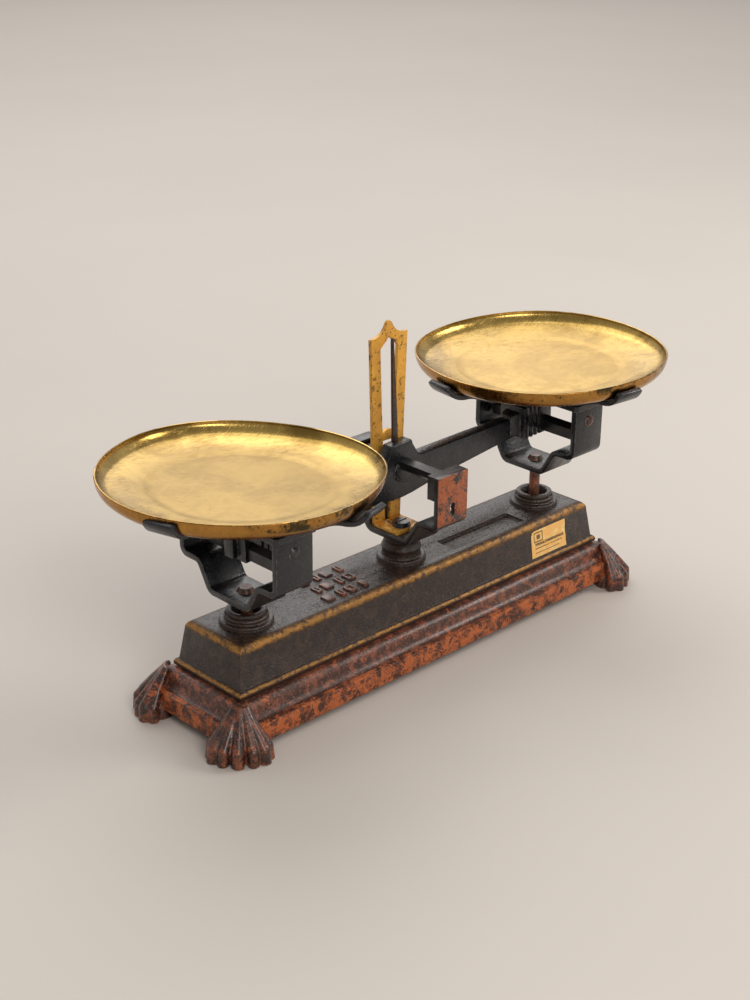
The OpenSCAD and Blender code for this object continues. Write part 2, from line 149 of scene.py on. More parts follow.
def drum(name, radius, length, place, axis="Z", steps=48):
    turn = {"Z": (0, 0, 0), "Y": (math.pi / 2, 0, 0), "X": (0, math.pi / 2, 0)}[axis]
    clearSelection()
    bpy.ops.mesh.primitive_cylinder_add(vertices=steps, radius=radius * mm, depth=length * mm,
                                        location=[v * mm for v in place], rotation=turn)
    piece = bpy.context.object
    piece.name = name
    bpy.ops.object.transform_apply(location=True, rotation=True, scale=True)
    return piece


def applyAll(piece):
    pick(piece)
    for change in list(piece.modifiers):
        bpy.ops.object.modifier_apply(modifier=change.name)


def cutAway(piece, cutter):
    change = piece.modifiers.new("cut", "BOOLEAN")
    change.operation = "DIFFERENCE"
    change.solver = "EXACT"
    change.object = cutter
    applyAll(piece)
    bpy.data.objects.remove(cutter)


def soften(piece, width, rounds=2, angle=32):
    change = piece.modifiers.new("soft edges", "BEVEL")
    change.width = width * mm
    change.segments = rounds
    change.limit_method = "ANGLE"
    change.angle_limit = math.radians(angle)
    change.use_clamp_overlap = True
    applyAll(piece)


def weldTogether(pieces, name):
    clearSelection()
    for piece in pieces:
        piece.select_set(True)
    bpy.context.view_layer.objects.active = pieces[0]
    bpy.ops.object.join()
    pieces[0].name = name
    return pieces[0]


def settle(piece, shift=(0, 0, 0), turn=0, axis="Z", about=(0, 0, 0)):  # shift and about in mm
    centre = Matrix.Translation(Vector(about) * mm)
    piece.matrix_world = (Matrix.Translation(Vector(shift) * mm) @ centre
                          @ Matrix.Rotation(math.radians(turn), 4, axis) @ centre.inverted())
    pick(piece)
    bpy.ops.object.transform_apply(location=True, rotation=True, scale=True)
    return piece


def copyOf(piece, name, mirror=None):
    pick(piece)
    bpy.ops.object.duplicate()
    twin = bpy.context.object
    twin.name = name
    if mirror:
        twin.scale = mirror
        bpy.ops.object.transform_apply(location=True, rotation=True, scale=True)
        openMesh(twin)
        healNormals()
        closeMesh()
    return twin


def smooth(piece, angle=35):
    pick(piece)
    bpy.ops.object.shade_smooth_by_angle(angle=math.radians(angle))


def handOver(piece, body, material, stands=(), angle=35):
    smooth(piece, angle)
    if material is not None:
        piece.data.materials.clear()
        piece.data.materials.append(material)
    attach(piece, body)
    if stands:
        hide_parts(*stands)
    return piece


def arcPoints(centre, radius, start, end, count=8):
    return [(centre[0] + radius * math.cos(math.radians(start + (end - start) * i / count)),
             centre[1] + radius * math.sin(math.radians(start + (end - start) * i / count)))
            for i in range(count + 1)]


def withoutRepeats(points):  # drops a point that lies on the one before it
    return [p for i, p in enumerate(points) if i == 0 or math.dist(p[:2], points[i - 1][:2]) > 0.02]


def walkBends(start, steps, facets):  # steps of (straight, bend radius, turn)
    a, b, heading = start
    path = [(a, b, heading)]
    for straight, radius, turn in steps:
        a += straight * math.cos(math.radians(heading))
        b += straight * math.sin(math.radians(heading))
        if not turn:
            path.append((a, b, heading))
            continue
        side = math.copysign(radius, turn)
        for k in range(facets + 1):
            now = heading + turn * k / facets
            path.append((a + side * (math.sin(math.radians(now)) - math.sin(math.radians(heading))),
                         b - side * (math.cos(math.radians(now)) - math.cos(math.radians(heading))), now))
        a, b, heading = path[-1]
    return withoutRepeats(path)


def bentStrip(path, thickness):
    def beside(gap):
        return [(a - gap * math.sin(math.radians(h)), b + gap * math.cos(math.radians(h)))
                for a, b, h in path]
    return beside(thickness / 2) + beside(-thickness / 2)[::-1]


def feed(tree, socket, value):
    if isinstance(value, bpy.types.NodeSocket):
        tree.links.new(value, socket)
    elif value is not None:
        socket.default_value = value


def mathOf(tree, operation, a, b=None, clamp=False):
    node = tree.nodes.new("ShaderNodeMath")
    node.operation = operation
    node.use_clamp = clamp
    feed(tree, node.inputs[0], a)
    if b is not None:
        feed(tree, node.inputs[1], b)
    return node.outputs[0]


def times(tree, a, b):
    return mathOf(tree, "MULTIPLY", a, b)


def plus(tree, a, b, clamp=False):
    return mathOf(tree, "ADD", a, b, clamp)


def minus(tree, a, b, clamp=False):
    return mathOf(tree, "SUBTRACT", a, b, clamp)


def larger(tree, a, b):
    return mathOf(tree, "MAXIMUM", a, b)


def noiseOf(tree, where, scale, detail=4.0, rough=0.55, bend=0.0):
    node = tree.nodes.new("ShaderNodeTexNoise")
    feed(tree, node.inputs["Vector"], where)
    feed(tree, node.inputs["Scale"], scale)
    node.inputs["Detail"].default_value = detail
    node.inputs["Roughness"].default_value = rough
    node.inputs["Distortion"].default_value = bend
    return node.outputs[0]


def rangeOf(tree, value, low, high, newLow=0.0, newHigh=1.0):
    node = tree.nodes.new("ShaderNodeMapRange")
    node.interpolation_type = "SMOOTHSTEP"
    for socket, number in zip(node.inputs[:5], (value, low, high, newLow, newHigh)):
        feed(tree, socket, number)
    return node.outputs[0]


def mixOf(tree, share, a, b):
    node = tree.nodes.new("ShaderNodeMix")
    node.data_type = "RGBA"
    feed(tree, node.inputs[0], share)
    for socket, colour in ((node.inputs[6], a), (node.inputs[7], b)):
        feed(tree, socket, colour if isinstance(colour, bpy.types.NodeSocket) else (*colour, 1))
    return node.outputs[2]


def placeOf(tree, shift=None):  # object coordinates, moved by a mapping
    coordinates = tree.nodes.new("ShaderNodeTexCoord")
    if not shift:
        return coordinates.outputs["Object"]
    mapping = tree.nodes.new("ShaderNodeMapping")
    mapping.inputs["Location"].default_value = shift
    tree.links.new(coordinates.outputs["Object"], mapping.inputs["Vector"])
    return mapping.outputs[0]


def splitOf(tree, where):
    node = tree.nodes.new("ShaderNodeSeparateXYZ")
    tree.links.new(where, node.inputs[0])
    return node.outputs


def newEffect(name, inputs, outputs):
    tree = bpy.data.node_groups.new(name, "ShaderNodeTree")
    for label, number in inputs:
        kind = "NodeSocketVector" if number is None else "NodeSocketFloat"
        socket = tree.interface.new_socket(name=label, in_out="INPUT", socket_type=kind)
        if number is not None:
            socket.default_value = number
    for label in outputs:
        tree.interface.new_socket(name=label, in_out="OUTPUT", socket_type="NodeSocketFloat")
    return tree, tree.nodes.new("NodeGroupInput").outputs, tree.nodes.new("NodeGroupOutput").inputs


def effectIn(tree, effect, **values):
    node = tree.nodes.new("ShaderNodeGroup")
    node.node_tree = effect
    for label, value in values.items():
        feed(tree, node.inputs[label], value)
    return node.outputs


def makeRubbedEdgesAndHighlights():  # bright where an edge has been rubbed bare; on the brass and the black steel the bright edge is also a painted highlight
    inputs = [("Where", None), ("Radius", 0.001), ("Breaks", 300.0), ("Amount", 0.5)]
    tree, given, out = newEffect("rubbedEdgesAndHighlights", inputs, ["Mask"])
    bevel = tree.nodes.new("ShaderNodeBevel")
    bevel.samples = 4
    tree.links.new(given["Radius"], bevel.inputs["Radius"])
    shape = tree.nodes.new("ShaderNodeNewGeometry")
    dot = tree.nodes.new("ShaderNodeVectorMath")
    dot.operation = "DOT_PRODUCT"
    tree.links.new(bevel.outputs[0], dot.inputs[0])
    tree.links.new(shape.outputs["Normal"], dot.inputs[1])
    edge = rangeOf(tree, minus(tree, 1.0, dot.outputs["Value"]), 0.01, 0.14)
    breaks = rangeOf(tree, noiseOf(tree, given["Where"], given["Breaks"], 5, 0.6), 0.38, 0.62)
    tree.links.new(times(tree, times(tree, edge, breaks), given["Amount"]), out["Mask"])
    return tree


def makeCastSkin():  # sandy casting skin: fine grains, pits, slow swells
    inputs = [("Where", None), ("Grain", 900.0), ("Swell", 90.0)]
    tree, given, out = newEffect("castSkin", inputs, ["Height", "Pits"])
    grains = noiseOf(tree, given["Where"], given["Grain"], 5, 0.62)
    swells = noiseOf(tree, given["Where"], given["Swell"], 3, 0.5)
    cells = tree.nodes.new("ShaderNodeTexVoronoi")
    cells.inputs["Randomness"].default_value = 1.0
    tree.links.new(given["Where"], cells.inputs["Vector"])
    tree.links.new(times(tree, given["Grain"], 0.33), cells.inputs["Scale"])
    pits = rangeOf(tree, cells.outputs["Distance"], 0.34, 0.08)
    tree.links.new(pits, out["Pits"])
    height = plus(tree, times(tree, grains, 0.55), times(tree, swells, 0.9))
    tree.links.new(minus(tree, height, times(tree, pits, 0.28)), out["Height"])
    return tree


def makeRaggedPatches():  # ragged patches such as rust or worn paint
    inputs = [("Where", None), ("Size", 60.0), ("Cover", 0.5)]
    tree, given, out = newEffect("raggedPatches", inputs, ["Mask", "Tone"])
    broad = noiseOf(tree, given["Where"], given["Size"], 7, 0.68, 0.4)
    fine = noiseOf(tree, given["Where"], times(tree, given["Size"], 7.0), 4, 0.65)
    blend = plus(tree, times(tree, broad, 0.72), times(tree, fine, 0.28))
    edge = minus(tree, 0.86, times(tree, given["Cover"], 0.72))
    tree.links.new(rangeOf(tree, blend, minus(tree, edge, 0.05), plus(tree, edge, 0.05)), out["Mask"])
    tree.links.new(fine, out["Tone"])
    return tree


def makeSpecks():  # scattered small spots
    inputs = [("Where", None), ("Size", 400.0), ("Cover", 0.3)]
    tree, given, out = newEffect("scatteredSpecks", inputs, ["Mask"])
    cells = tree.nodes.new("ShaderNodeTexVoronoi")
    tree.links.new(given["Where"], cells.inputs["Vector"])
    tree.links.new(given["Size"], cells.inputs["Scale"])
    spot = rangeOf(tree, cells.outputs["Distance"], 0.30, 0.16)
    here = noiseOf(tree, given["Where"], times(tree, given["Size"], 0.22), 3, 0.6)
    edge = minus(tree, 0.8, times(tree, given["Cover"], 0.6))
    tree.links.new(times(tree, spot, rangeOf(tree, here, edge, plus(tree, edge, 0.08))), out["Mask"])
    return tree


def makeScuffs():  # fine scratches that run in a few directions
    inputs = [("Where", None), ("Size", 160.0)]
    tree, given, out = newEffect("fineScuffs", inputs, ["Mask"])
    masks = []
    for angle, pull in ((0.4, 26.0), (1.5, 18.0), (2.4, 34.0)):
        mapping = tree.nodes.new("ShaderNodeMapping")
        mapping.inputs["Rotation"].default_value = (0, 0, angle)
        mapping.inputs["Scale"].default_value = (1, pull, 1)
        tree.links.new(given["Where"], mapping.inputs["Vector"])
        scratches = noiseOf(tree, mapping.outputs[0], given["Size"], 2, 0.5, 0.15)
        masks.append(rangeOf(tree, scratches, 0.60, 0.70))
    both = larger(tree, masks[0], masks[1])
    tree.links.new(larger(tree, both, masks[2]), out["Mask"])
    return tree


rubbedEdgesAndHighlights = makeRubbedEdgesAndHighlights()
castSkin = makeCastSkin()
raggedPatches = makeRaggedPatches()
scatteredSpecks = makeSpecks()
fineScuffs = makeScuffs()


def newFinish(name, metallic=0.0, coat=0.0, coatRough=0.2, specular=0.5):
    finish = bpy.data.materials.new(name)
    finish.use_nodes = True
    tree = finish.node_tree
    surface = tree.nodes["Principled BSDF"]
    surface.inputs["Metallic"].default_value = metallic
    surface.inputs["Coat Weight"].default_value = coat
    surface.inputs["Coat Roughness"].default_value = coatRough
    surface.inputs["Specular IOR Level"].default_value = specular
    return finish, tree, surface


def giveRelief(tree, surface, height, distance, strength=0.6):
    bump = tree.nodes.new("ShaderNodeBump")
    bump.inputs["Distance"].default_value = distance * mm
    bump.inputs["Strength"].default_value = strength
    tree.links.new(height, bump.inputs["Height"])
    tree.links.new(bump.outputs[0], surface.inputs["Normal"])


# one finish for all the old painted iron; the dictionary under it sets the looks
def paintedIron(name, dark, warm, rust, edge, cover, rough, depth, edgeRubAndHighlight,
                coat=0.25, grain=900.0, upGloss=False, edgeRadius=0.0011):
    finish, tree, surface = newFinish(name, 0.0, coat, 0.22)
    where = placeOf(tree)
    skin = effectIn(tree, castSkin, Where=where, Grain=grain, Swell=70.0)
    patches = effectIn(tree, raggedPatches, Where=where, Size=150.0, Cover=0.46)
    rusty = effectIn(tree, raggedPatches, Where=placeOf(tree, (0.31, 0.17, 0.05)), Size=105.0, Cover=cover)
    rubbed = effectIn(tree, rubbedEdgesAndHighlights, Where=where, Radius=edgeRadius, Breaks=260.0, Amount=edgeRubAndHighlight)
    paint = mixOf(tree, patches["Mask"], dark, warm)
    dust = rangeOf(tree, noiseOf(tree, where, grain * 0.8, 4, 0.7), 0.55, 0.66)
    paint = mixOf(tree, times(tree, dust, 0.5), paint, [v * 2.6 for v in warm])
    paint = mixOf(tree, times(tree, skin["Pits"], 0.45), paint, [v * 0.35 for v in dark])
    rustTone = mixOf(tree, rusty["Tone"], [v * 0.45 for v in rust], [min(1, v * 1.5) for v in rust])
    colour = mixOf(tree, rusty["Mask"], paint, rustTone)
    # rubbed bare edges; on the black steel the pale grey edge colour is a painted highlight over the wear
    colour = mixOf(tree, rubbed["Mask"], colour, edge)
    tree.links.new(colour, surface.inputs["Base Color"])
    roughness = rangeOf(tree, noiseOf(tree, where, 120.0, 4, 0.6), 0.3, 0.75, rough[0], rough[1])
    roughness = plus(tree, roughness, times(tree, rusty["Mask"], 0.28), True)
    if upGloss:  # the top is smoother from handling
        shape = tree.nodes.new("ShaderNodeNewGeometry")
        up = rangeOf(tree, splitOf(tree, shape.outputs["Normal"])[2], 0.7, 0.95)
        roughness = minus(tree, roughness, times(tree, up, 0.12), True)
    tree.links.new(roughness, surface.inputs["Roughness"])
    giveRelief(tree, surface, skin["Height"], depth)
    return finish


ironLooks = {
    "blackIron": {
        "dark": (0.024, 0.015, 0.012), "warm": (0.052, 0.029, 0.020), "rust": (0.27, 0.080, 0.030),
        "edge": (0.16, 0.085, 0.05), "cover": 0.17, "rough": (0.24, 0.50), "depth": 1.4, "edgeRubAndHighlight": 0.9,
        "coat": 0.08, "upGloss": True},
    "ogeeIron": {
        "dark": (0.055, 0.023, 0.016), "warm": (0.23, 0.075, 0.040), "rust": (0.52, 0.130, 0.040),
        "edge": (0.30, 0.15, 0.10), "cover": 0.36, "rough": (0.28, 0.52), "depth": 0.8, "edgeRubAndHighlight": 0.7},
    "plinthRust": {
        "dark": (0.045, 0.016, 0.010), "warm": (0.25, 0.062, 0.020), "rust": (0.50, 0.130, 0.036),
        "edge": (0.40, 0.19, 0.12), "cover": 0.50, "rough": (0.38, 0.66), "depth": 0.8, "edgeRubAndHighlight": 0.7,
        "coat": 0.1},
    "pawIron": {
        "dark": (0.030, 0.012, 0.009), "warm": (0.21, 0.056, 0.020), "rust": (0.50, 0.120, 0.028),
        "edge": (0.36, 0.20, 0.14), "cover": 0.36, "rough": (0.20, 0.46), "depth": 0.8, "edgeRubAndHighlight": 0.9,
        "coat": 0.4, "edgeRadius": 0.0016},
    # black steel: its pale grey edge colour is a painted highlight along the edges, over rubbed wear
    "blackSteel": {
        "dark": (0.005, 0.006, 0.008), "warm": (0.012, 0.012, 0.015), "rust": (0.12, 0.045, 0.026),
        "edge": (0.24, 0.23, 0.24), "cover": 0.14, "rough": (0.22, 0.40), "depth": 0.55, "edgeRubAndHighlight": 0.95,
        "coat": 0.15, "grain": 700.0},
    "knifeSteel": {
        "dark": (0.006, 0.006, 0.007), "warm": (0.014, 0.012, 0.012), "rust": (0.08, 0.032, 0.018),
        "edge": (0.11, 0.10, 0.10), "cover": 0.18, "rough": (0.28, 0.48), "depth": 0.2, "edgeRubAndHighlight": 0.7,
        "coat": 0.1},
    "bearingSteel": {
        "dark": (0.012, 0.010, 0.010), "warm": (0.032, 0.023, 0.020), "rust": (0.13, 0.045, 0.024),
        "edge": (0.18, 0.15, 0.14), "cover": 0.26, "rough": (0.28, 0.5), "depth": 0.25, "edgeRubAndHighlight": 0.7},
    "needleIron": {
        "dark": (0.020, 0.010, 0.007), "warm": (0.055, 0.024, 0.014), "rust": (0.15, 0.048, 0.020),
        "edge": (0.14, 0.085, 0.055), "cover": 0.3, "rough": (0.33, 0.55), "depth": 0.15, "edgeRubAndHighlight": 0.5},
    "rodRust": {
        "dark": (0.050, 0.022, 0.015), "warm": (0.15, 0.058, 0.032), "rust": (0.32, 0.10, 0.045),
        "edge": (0.36, 0.24, 0.18), "cover": 0.45, "rough": (0.28, 0.5), "depth": 0.3, "edgeRubAndHighlight": 0.5},
    "roughIron": {
        "dark": (0.028, 0.019, 0.015), "warm": (0.075, 0.044, 0.032), "rust": (0.20, 0.075, 0.036),
        "edge": (0.22, 0.18, 0.15), "cover": 0.4, "rough": (0.5, 0.8), "depth": 0.5, "edgeRubAndHighlight": 0.4,
        "coat": 0.0},
    "rivetRust": {
        "dark": (0.050, 0.016, 0.012), "warm": (0.16, 0.050, 0.036), "rust": (0.32, 0.09, 0.05),
        "edge": (0.40, 0.26, 0.21), "cover": 0.35, "rough": (0.28, 0.45), "depth": 0.3, "edgeRubAndHighlight": 0.9},
    "rivetBlack": {
        "dark": (0.010, 0.010, 0.011), "warm": (0.034, 0.028, 0.027), "rust": (0.12, 0.05, 0.03),
        "edge": (0.36, 0.33, 0.31), "cover": 0.2, "rough": (0.22, 0.40), "depth": 0.25, "edgeRubAndHighlight": 1.0}}
iron = {name: paintedIron(name, **looks) for name, looks in ironLooks.items()}


def makeForkIron():  # dark paint, worn to orange rust on the outside of the uprights
    finish, tree, surface = newFinish("forkIron", 0.0, 0.2, 0.25)
    where = placeOf(tree)
    skin = effectIn(tree, castSkin, Where=where, Grain=900.0, Swell=80.0)
    rubbed = effectIn(tree, rubbedEdgesAndHighlights, Where=where, Radius=0.0011, Breaks=260.0, Amount=0.8)
    patches = effectIn(tree, raggedPatches, Where=where, Size=90.0, Cover=0.55)
    few = effectIn(tree, raggedPatches, Where=placeOf(tree, (0.2, 0.1, 0.3)), Size=90.0, Cover=0.2)
    outside = rangeOf(tree, mathOf(tree, "ABSOLUTE", splitOf(tree, where)[1]), 0.0455, 0.0463)
    low = rangeOf(tree, splitOf(tree, where)[2], 0.098, 0.106)
    bare = larger(tree, times(tree, patches["Mask"], times(tree, outside, low)), few["Mask"])
    rust = mixOf(tree, patches["Tone"], (0.050, 0.015, 0.008), (0.62, 0.160, 0.048))
    paint = mixOf(tree, patches["Tone"], (0.009, 0.009, 0.010), (0.026, 0.021, 0.020))
    colour = mixOf(tree, bare, paint, rust)
    tree.links.new(mixOf(tree, rubbed["Mask"], colour, (0.24, 0.20, 0.18)), surface.inputs["Base Color"])
    tree.links.new(rangeOf(tree, bare, 0, 1, 0.36, 0.68), surface.inputs["Roughness"])
    giveRelief(tree, surface, skin["Height"], 0.35)
    return finish


def makeGilt(name, chips, lightEdge, crest=None):  # old gold paint with dark chips
    finish, tree, surface = newFinish(name, 0.0, 0.1, 0.3)
    where = placeOf(tree)
    skin = effectIn(tree, castSkin, Where=where, Grain=1000.0, Swell=90.0)
    worn = effectIn(tree, raggedPatches, Where=where, Size=210.0, Cover=chips)
    spots = effectIn(tree, scatteredSpecks, Where=where, Size=420.0, Cover=chips + 0.22)
    rubbed = effectIn(tree, rubbedEdgesAndHighlights, Where=where, Radius=0.0008, Breaks=350.0, Amount=0.75)
    gold = mixOf(tree, noiseOf(tree, where, 60.0, 4, 0.6), (0.60, 0.25, 0.030), (1.0, 0.56, 0.095))
    if crest:
        gold = mixOf(tree, noiseOf(tree, where, 200.0, 5, 0.7), (0.10, 0.042, 0.010), (0.66, 0.31, 0.052))
    dark = larger(tree, worn["Mask"], times(tree, spots["Mask"], 0.9))
    colour = mixOf(tree, dark, gold, mixOf(tree, worn["Tone"], (0.020, 0.012, 0.008), (0.10, 0.045, 0.02)))
    colour = mixOf(tree, rubbed["Mask"], colour, lightEdge)
    if crest:  # the line keeps its gold only along the crest of the bead
        shape = tree.nodes.new("ShaderNodeNewGeometry")
        up = plus(tree, splitOf(tree, shape.outputs["Normal"])[2],
                    times(tree, minus(tree, noiseOf(tree, where, 260.0, 5, 0.75), 0.5), 0.7))
        above = rangeOf(tree, up, crest[0] - 0.1, crest[0] + 0.30)
        below = rangeOf(tree, up, crest[1] + 0.1, crest[1] - 0.22)
        kept = times(tree, above, below)
        bare = mixOf(tree, worn["Tone"], (0.014, 0.009, 0.007), (0.075, 0.032, 0.014))
        colour = mixOf(tree, kept, bare, colour)
        dark = larger(tree, dark, minus(tree, 1.0, kept))
    tree.links.new(colour, surface.inputs["Base Color"])
    tree.links.new(rangeOf(tree, dark, 0, 1, 0.35, 0.12), surface.inputs["Metallic"])
    tree.links.new(rangeOf(tree, worn["Tone"], 0.3, 0.7, 0.36, 0.62), surface.inputs["Roughness"])
    giveRelief(tree, surface, minus(tree, skin["Height"], times(tree, dark, 0.5)), 0.28)
    return finish


def makeBrass(name, centre, paintedFloorLight):  # straw floor, golden walls darker than the floor as painted shade, a painted highlight on the rubbed edges, dark patches along the front of the rim
    finish, tree, surface = newFinish(name, 1.0, 0.0, 0.2)
    where = placeOf(tree)
    x, y = splitOf(tree, placeOf(tree, (-centre[0], -centre[1], -centre[2])))[:2]
    radius = mathOf(tree, "SQRT", plus(tree, times(tree, x, x), times(tree, y, y)))
    wall = rangeOf(tree, plus(tree, radius, times(tree, noiseOf(tree, where, 45.0, 4), 0.012)), 0.060, 0.084)
    clouds = noiseOf(tree, where, 26.0, 7, 0.66, 0.5)
    fineClouds = noiseOf(tree, where, 210.0, 7, 0.75)
    shape = tree.nodes.new("ShaderNodeNewGeometry")
    face = splitOf(tree, shape.outputs["Normal"])
    outward = plus(tree, times(tree, face[0], x), times(tree, face[1], y))
    outside = larger(tree, rangeOf(tree, outward, 0.002, 0.02), rangeOf(tree, face[2], -0.05, -0.3))
    # the floor tones are scaled per pan: the left pan's floor is painted darker than the right's as painted
    # shade
    dullFloor = [v * paintedFloorLight for v in (0.58, 0.375, 0.115)]
    paleFloor = [v * paintedFloorLight for v in (0.83, 0.57, 0.205)]
    floorTone = mixOf(tree, rangeOf(tree, clouds, 0.34, 0.66), dullFloor, paleFloor)
    floorTone = mixOf(tree, rangeOf(tree, fineClouds, 0.44, 0.78), floorTone, (0.44, 0.285, 0.095))
    # the walls and the slope out from the ring get a darker gold than the floor: painted shade; its mottling
    # is tarnish
    shadedWallTone = mixOf(tree, rangeOf(tree, clouds, 0.34, 0.62), (0.30, 0.185, 0.045), (0.56, 0.37, 0.105))
    colour = mixOf(tree, wall, floorTone, shadedWallTone)
    colour = mixOf(tree, outside, colour, mixOf(tree, fineClouds, (0.22, 0.085, 0.022), (0.62, 0.33, 0.075)))
    stain = effectIn(tree, raggedPatches, Where=where, Size=34.0, Cover=0.17)
    colour = mixOf(tree, times(tree, stain["Mask"], 0.55), colour, (0.17, 0.10, 0.035))
    specks = effectIn(tree, scatteredSpecks, Where=where, Size=330.0, Cover=0.22)
    scuffs = effectIn(tree, fineScuffs, Where=where, Size=110.0)
    colour = mixOf(tree, times(tree, specks["Mask"], 0.7), colour, (0.08, 0.055, 0.02))
    # rubbed edges in pale brass: worn edges, and along the rim top a painted highlight
    rubbed = effectIn(tree, rubbedEdgesAndHighlights, Where=where, Radius=0.0006, Breaks=90.0, Amount=0.9)
    colour = mixOf(tree, rubbed["Mask"], colour, (0.95, 0.72, 0.34))
    rimPatches = effectIn(tree, raggedPatches, Where=placeOf(tree, (0.1, 0.4, 0.2)), Size=80.0, Cover=0.46)
    onRim = times(tree, rangeOf(tree, radius, 0.0872, 0.0880), rangeOf(tree, times(tree, y, -1.0), 0.0, 0.05))
    rim = times(tree, onRim, rimPatches["Mask"])
    colour = mixOf(tree, times(tree, rim, 0.9), colour, (0.030, 0.036, 0.022))
    tree.links.new(colour, surface.inputs["Base Color"])
    rough = rangeOf(tree, clouds, 0.3, 0.7, 0.36, 0.46)
    rough = minus(tree, rough, times(tree, wall, 0.20))
    rough = plus(tree, rough, times(tree, scuffs["Mask"], 0.10), True)
    tree.links.new(rough, surface.inputs["Roughness"])
    height = plus(tree, times(tree, noiseOf(tree, where, 55.0, 3), 1.0), times(tree, fineClouds, 0.22))
    giveRelief(tree, surface, minus(tree, height, times(tree, scuffs["Mask"], 0.10)), 0.35, 0.5)
    return finish


def makePaper():  # yellowed label: a box, ruled lines, orange stains
    finish, tree, surface = newFinish("agedPaper", 0.0, 0.0)
    u, v = splitOf(tree, tree.nodes.new("ShaderNodeUVMap").outputs[0])[:2]
    where = placeOf(tree)

    def band(axis, low, high):  # 1 between low and high
        above = mathOf(tree, "GREATER_THAN", axis, low)
        below = mathOf(tree, "LESS_THAN", axis, high)
        return times(tree, above, below)

    def frameOf(x0, x1, y0, y1, line):
        outer = times(tree, band(u, x0, x1), band(v, y0, y1))
        inner = times(tree, band(u, x0 + line, x1 - line), band(v, y0 + line * 2, y1 - line * 2))
        return minus(tree, outer, inner)

    box = frameOf(0.07, 0.33, 0.55, 0.93, 0.022)
    ink = larger(tree, box, times(tree, band(u, 0.15, 0.25), band(v, 0.66, 0.82)))
    rules = ((0.30, 0.34, 0.10, 0.88), (0.42, 0.52, 0.10, 0.94), (0.14, 0.17, 0.10, 0.80))
    for low, high, start, end in rules:
        dashes = rangeOf(tree, noiseOf(tree, where, 900.0, 2), 0.36, 0.44)
        ink = larger(tree, ink, times(tree, times(tree, band(v, low, high), band(u, start, end)), dashes))
    stains = effectIn(tree, raggedPatches, Where=where, Size=190.0, Cover=0.55)
    dirt = effectIn(tree, scatteredSpecks, Where=where, Size=900.0, Cover=0.4)
    paper = mixOf(tree, noiseOf(tree, where, 160.0, 5), (0.84, 0.54, 0.15), (1.0, 0.83, 0.42))
    paper = mixOf(tree, times(tree, stains["Mask"], 0.75), paper, (0.95, 0.46, 0.11))
    paper = mixOf(tree, times(tree, dirt["Mask"], 0.6), paper, (0.20, 0.12, 0.05))
    paper = mixOf(tree, times(tree, ink, 0.85), paper, (0.05, 0.035, 0.025))
    tree.links.new(paper, surface.inputs["Base Color"])
    surface.inputs["Roughness"].default_value = 0.72
    giveRelief(tree, surface, noiseOf(tree, where, 700.0, 5), 0.06)
    return finish


forkIron = makeForkIron()
lineGilt = makeGilt("lineGilt", 0.43, (0.50, 0.29, 0.085), (0.20, 0.92))
frameGilt = makeGilt("frameGilt", 0.39, (0.024, 0.013, 0.008))
agedPaper = makePaper()
print("materials made")


base = {"topLong": 165.0, "topWide": 27.3, "plinthOut": 19.3, "plinthLow": 6.2, "plinthHigh": 18.8,
        "ogee": 6.0, "ogeeBack": 1.8, "line": 2.7, "batter": 3.1, "bead": 5.3, "plate": 63.3, "iron": 5.0,
        "edge": 0.45, "recess": (71.4, 17, 8), "recessPlace": (70, -9.5), "recessDeep": 2.2}
collar = {"bore": 9.1, "rim": 13.0, "top": 72.3, "skirt": 3.6, "bossTop": 80.4, "bossRim": 12.4}
collarPlace = {}
for sideName in ("left", "right"):
    low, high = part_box(sideName + "_rod")
    collarPlace[sideName] = (low.x + high.x) / 2 / mm


def baseProfile():  # (outward from the wall top, height), from the plinth up
    b = base
    out, high, ogee = b["plinthOut"], b["plinthHigh"], b["ogee"]
    lineLow = high + 2 * ogee
    return ([(out, b["plinthLow"]), (out, high)]
            + arcPoints((out - b["ogeeBack"], high + ogee), ogee, 270, 180, 6)
            + arcPoints((out - b["ogeeBack"] - 2 * ogee, high + ogee), ogee, 0, 90, 6)
            + [(b["batter"], lineLow)]
            + arcPoints((b["batter"], lineLow + b["line"]), b["line"], -90, 90, 8)
            + arcPoints((-b["bead"], b["plate"] - b["bead"]), b["bead"], 0, 90, 7))


def makeBase():
    b = base
    wall = b["batter"] - b["iron"]
    foot = b["plinthOut"] - b["iron"] - 1
    hollow = [(-b["iron"], b["plate"] - b["iron"]), (wall, 33.5), (wall, 30.5), (foot, b["plinthHigh"] - 4),
              (foot, b["plinthLow"])]
    rings = withoutRepeats(hollow + baseProfile())
    out, height = rings[0]
    clearSelection()
    bpy.ops.mesh.primitive_plane_add(size=2 * mm, location=(0, 0, height * mm))
    piece = bpy.context.object
    piece.name = "baseCasting"
    bpy.ops.object.transform_apply(location=True, rotation=True, scale=True)
    bpy.ops.object.mode_set(mode="EDIT")
    bpy.ops.mesh.select_all(action="SELECT")
    sizeX, sizeY = b["topLong"] + out, b["topWide"] + out
    bpy.ops.transform.resize(value=(sizeX, sizeY, 1))
    for nextOut, nextHeight in rings[1:]:
        grow((0, 0, nextHeight - height))
        newX, newY = b["topLong"] + nextOut, b["topWide"] + nextOut
        bpy.ops.transform.resize(value=(newX / sizeX, newY / sizeY, 1))
        sizeX, sizeY, height = newX, newY, nextHeight
    healNormals()
    closeMesh()
    recessMiddle = b["plate"] + b["recess"][2] / 2 - b["recessDeep"]
    recess = block("recess", b["recess"], (*b["recessPlace"], recessMiddle))
    soften(recess, 1.0, 2)
    cutAway(piece, recess)
    for place in collarPlace.values():
        cutAway(piece, drum("hole", collar["bore"], 30, (place, 0, b["plate"])))
    soften(piece, b["edge"], 2, 40)
    return piece


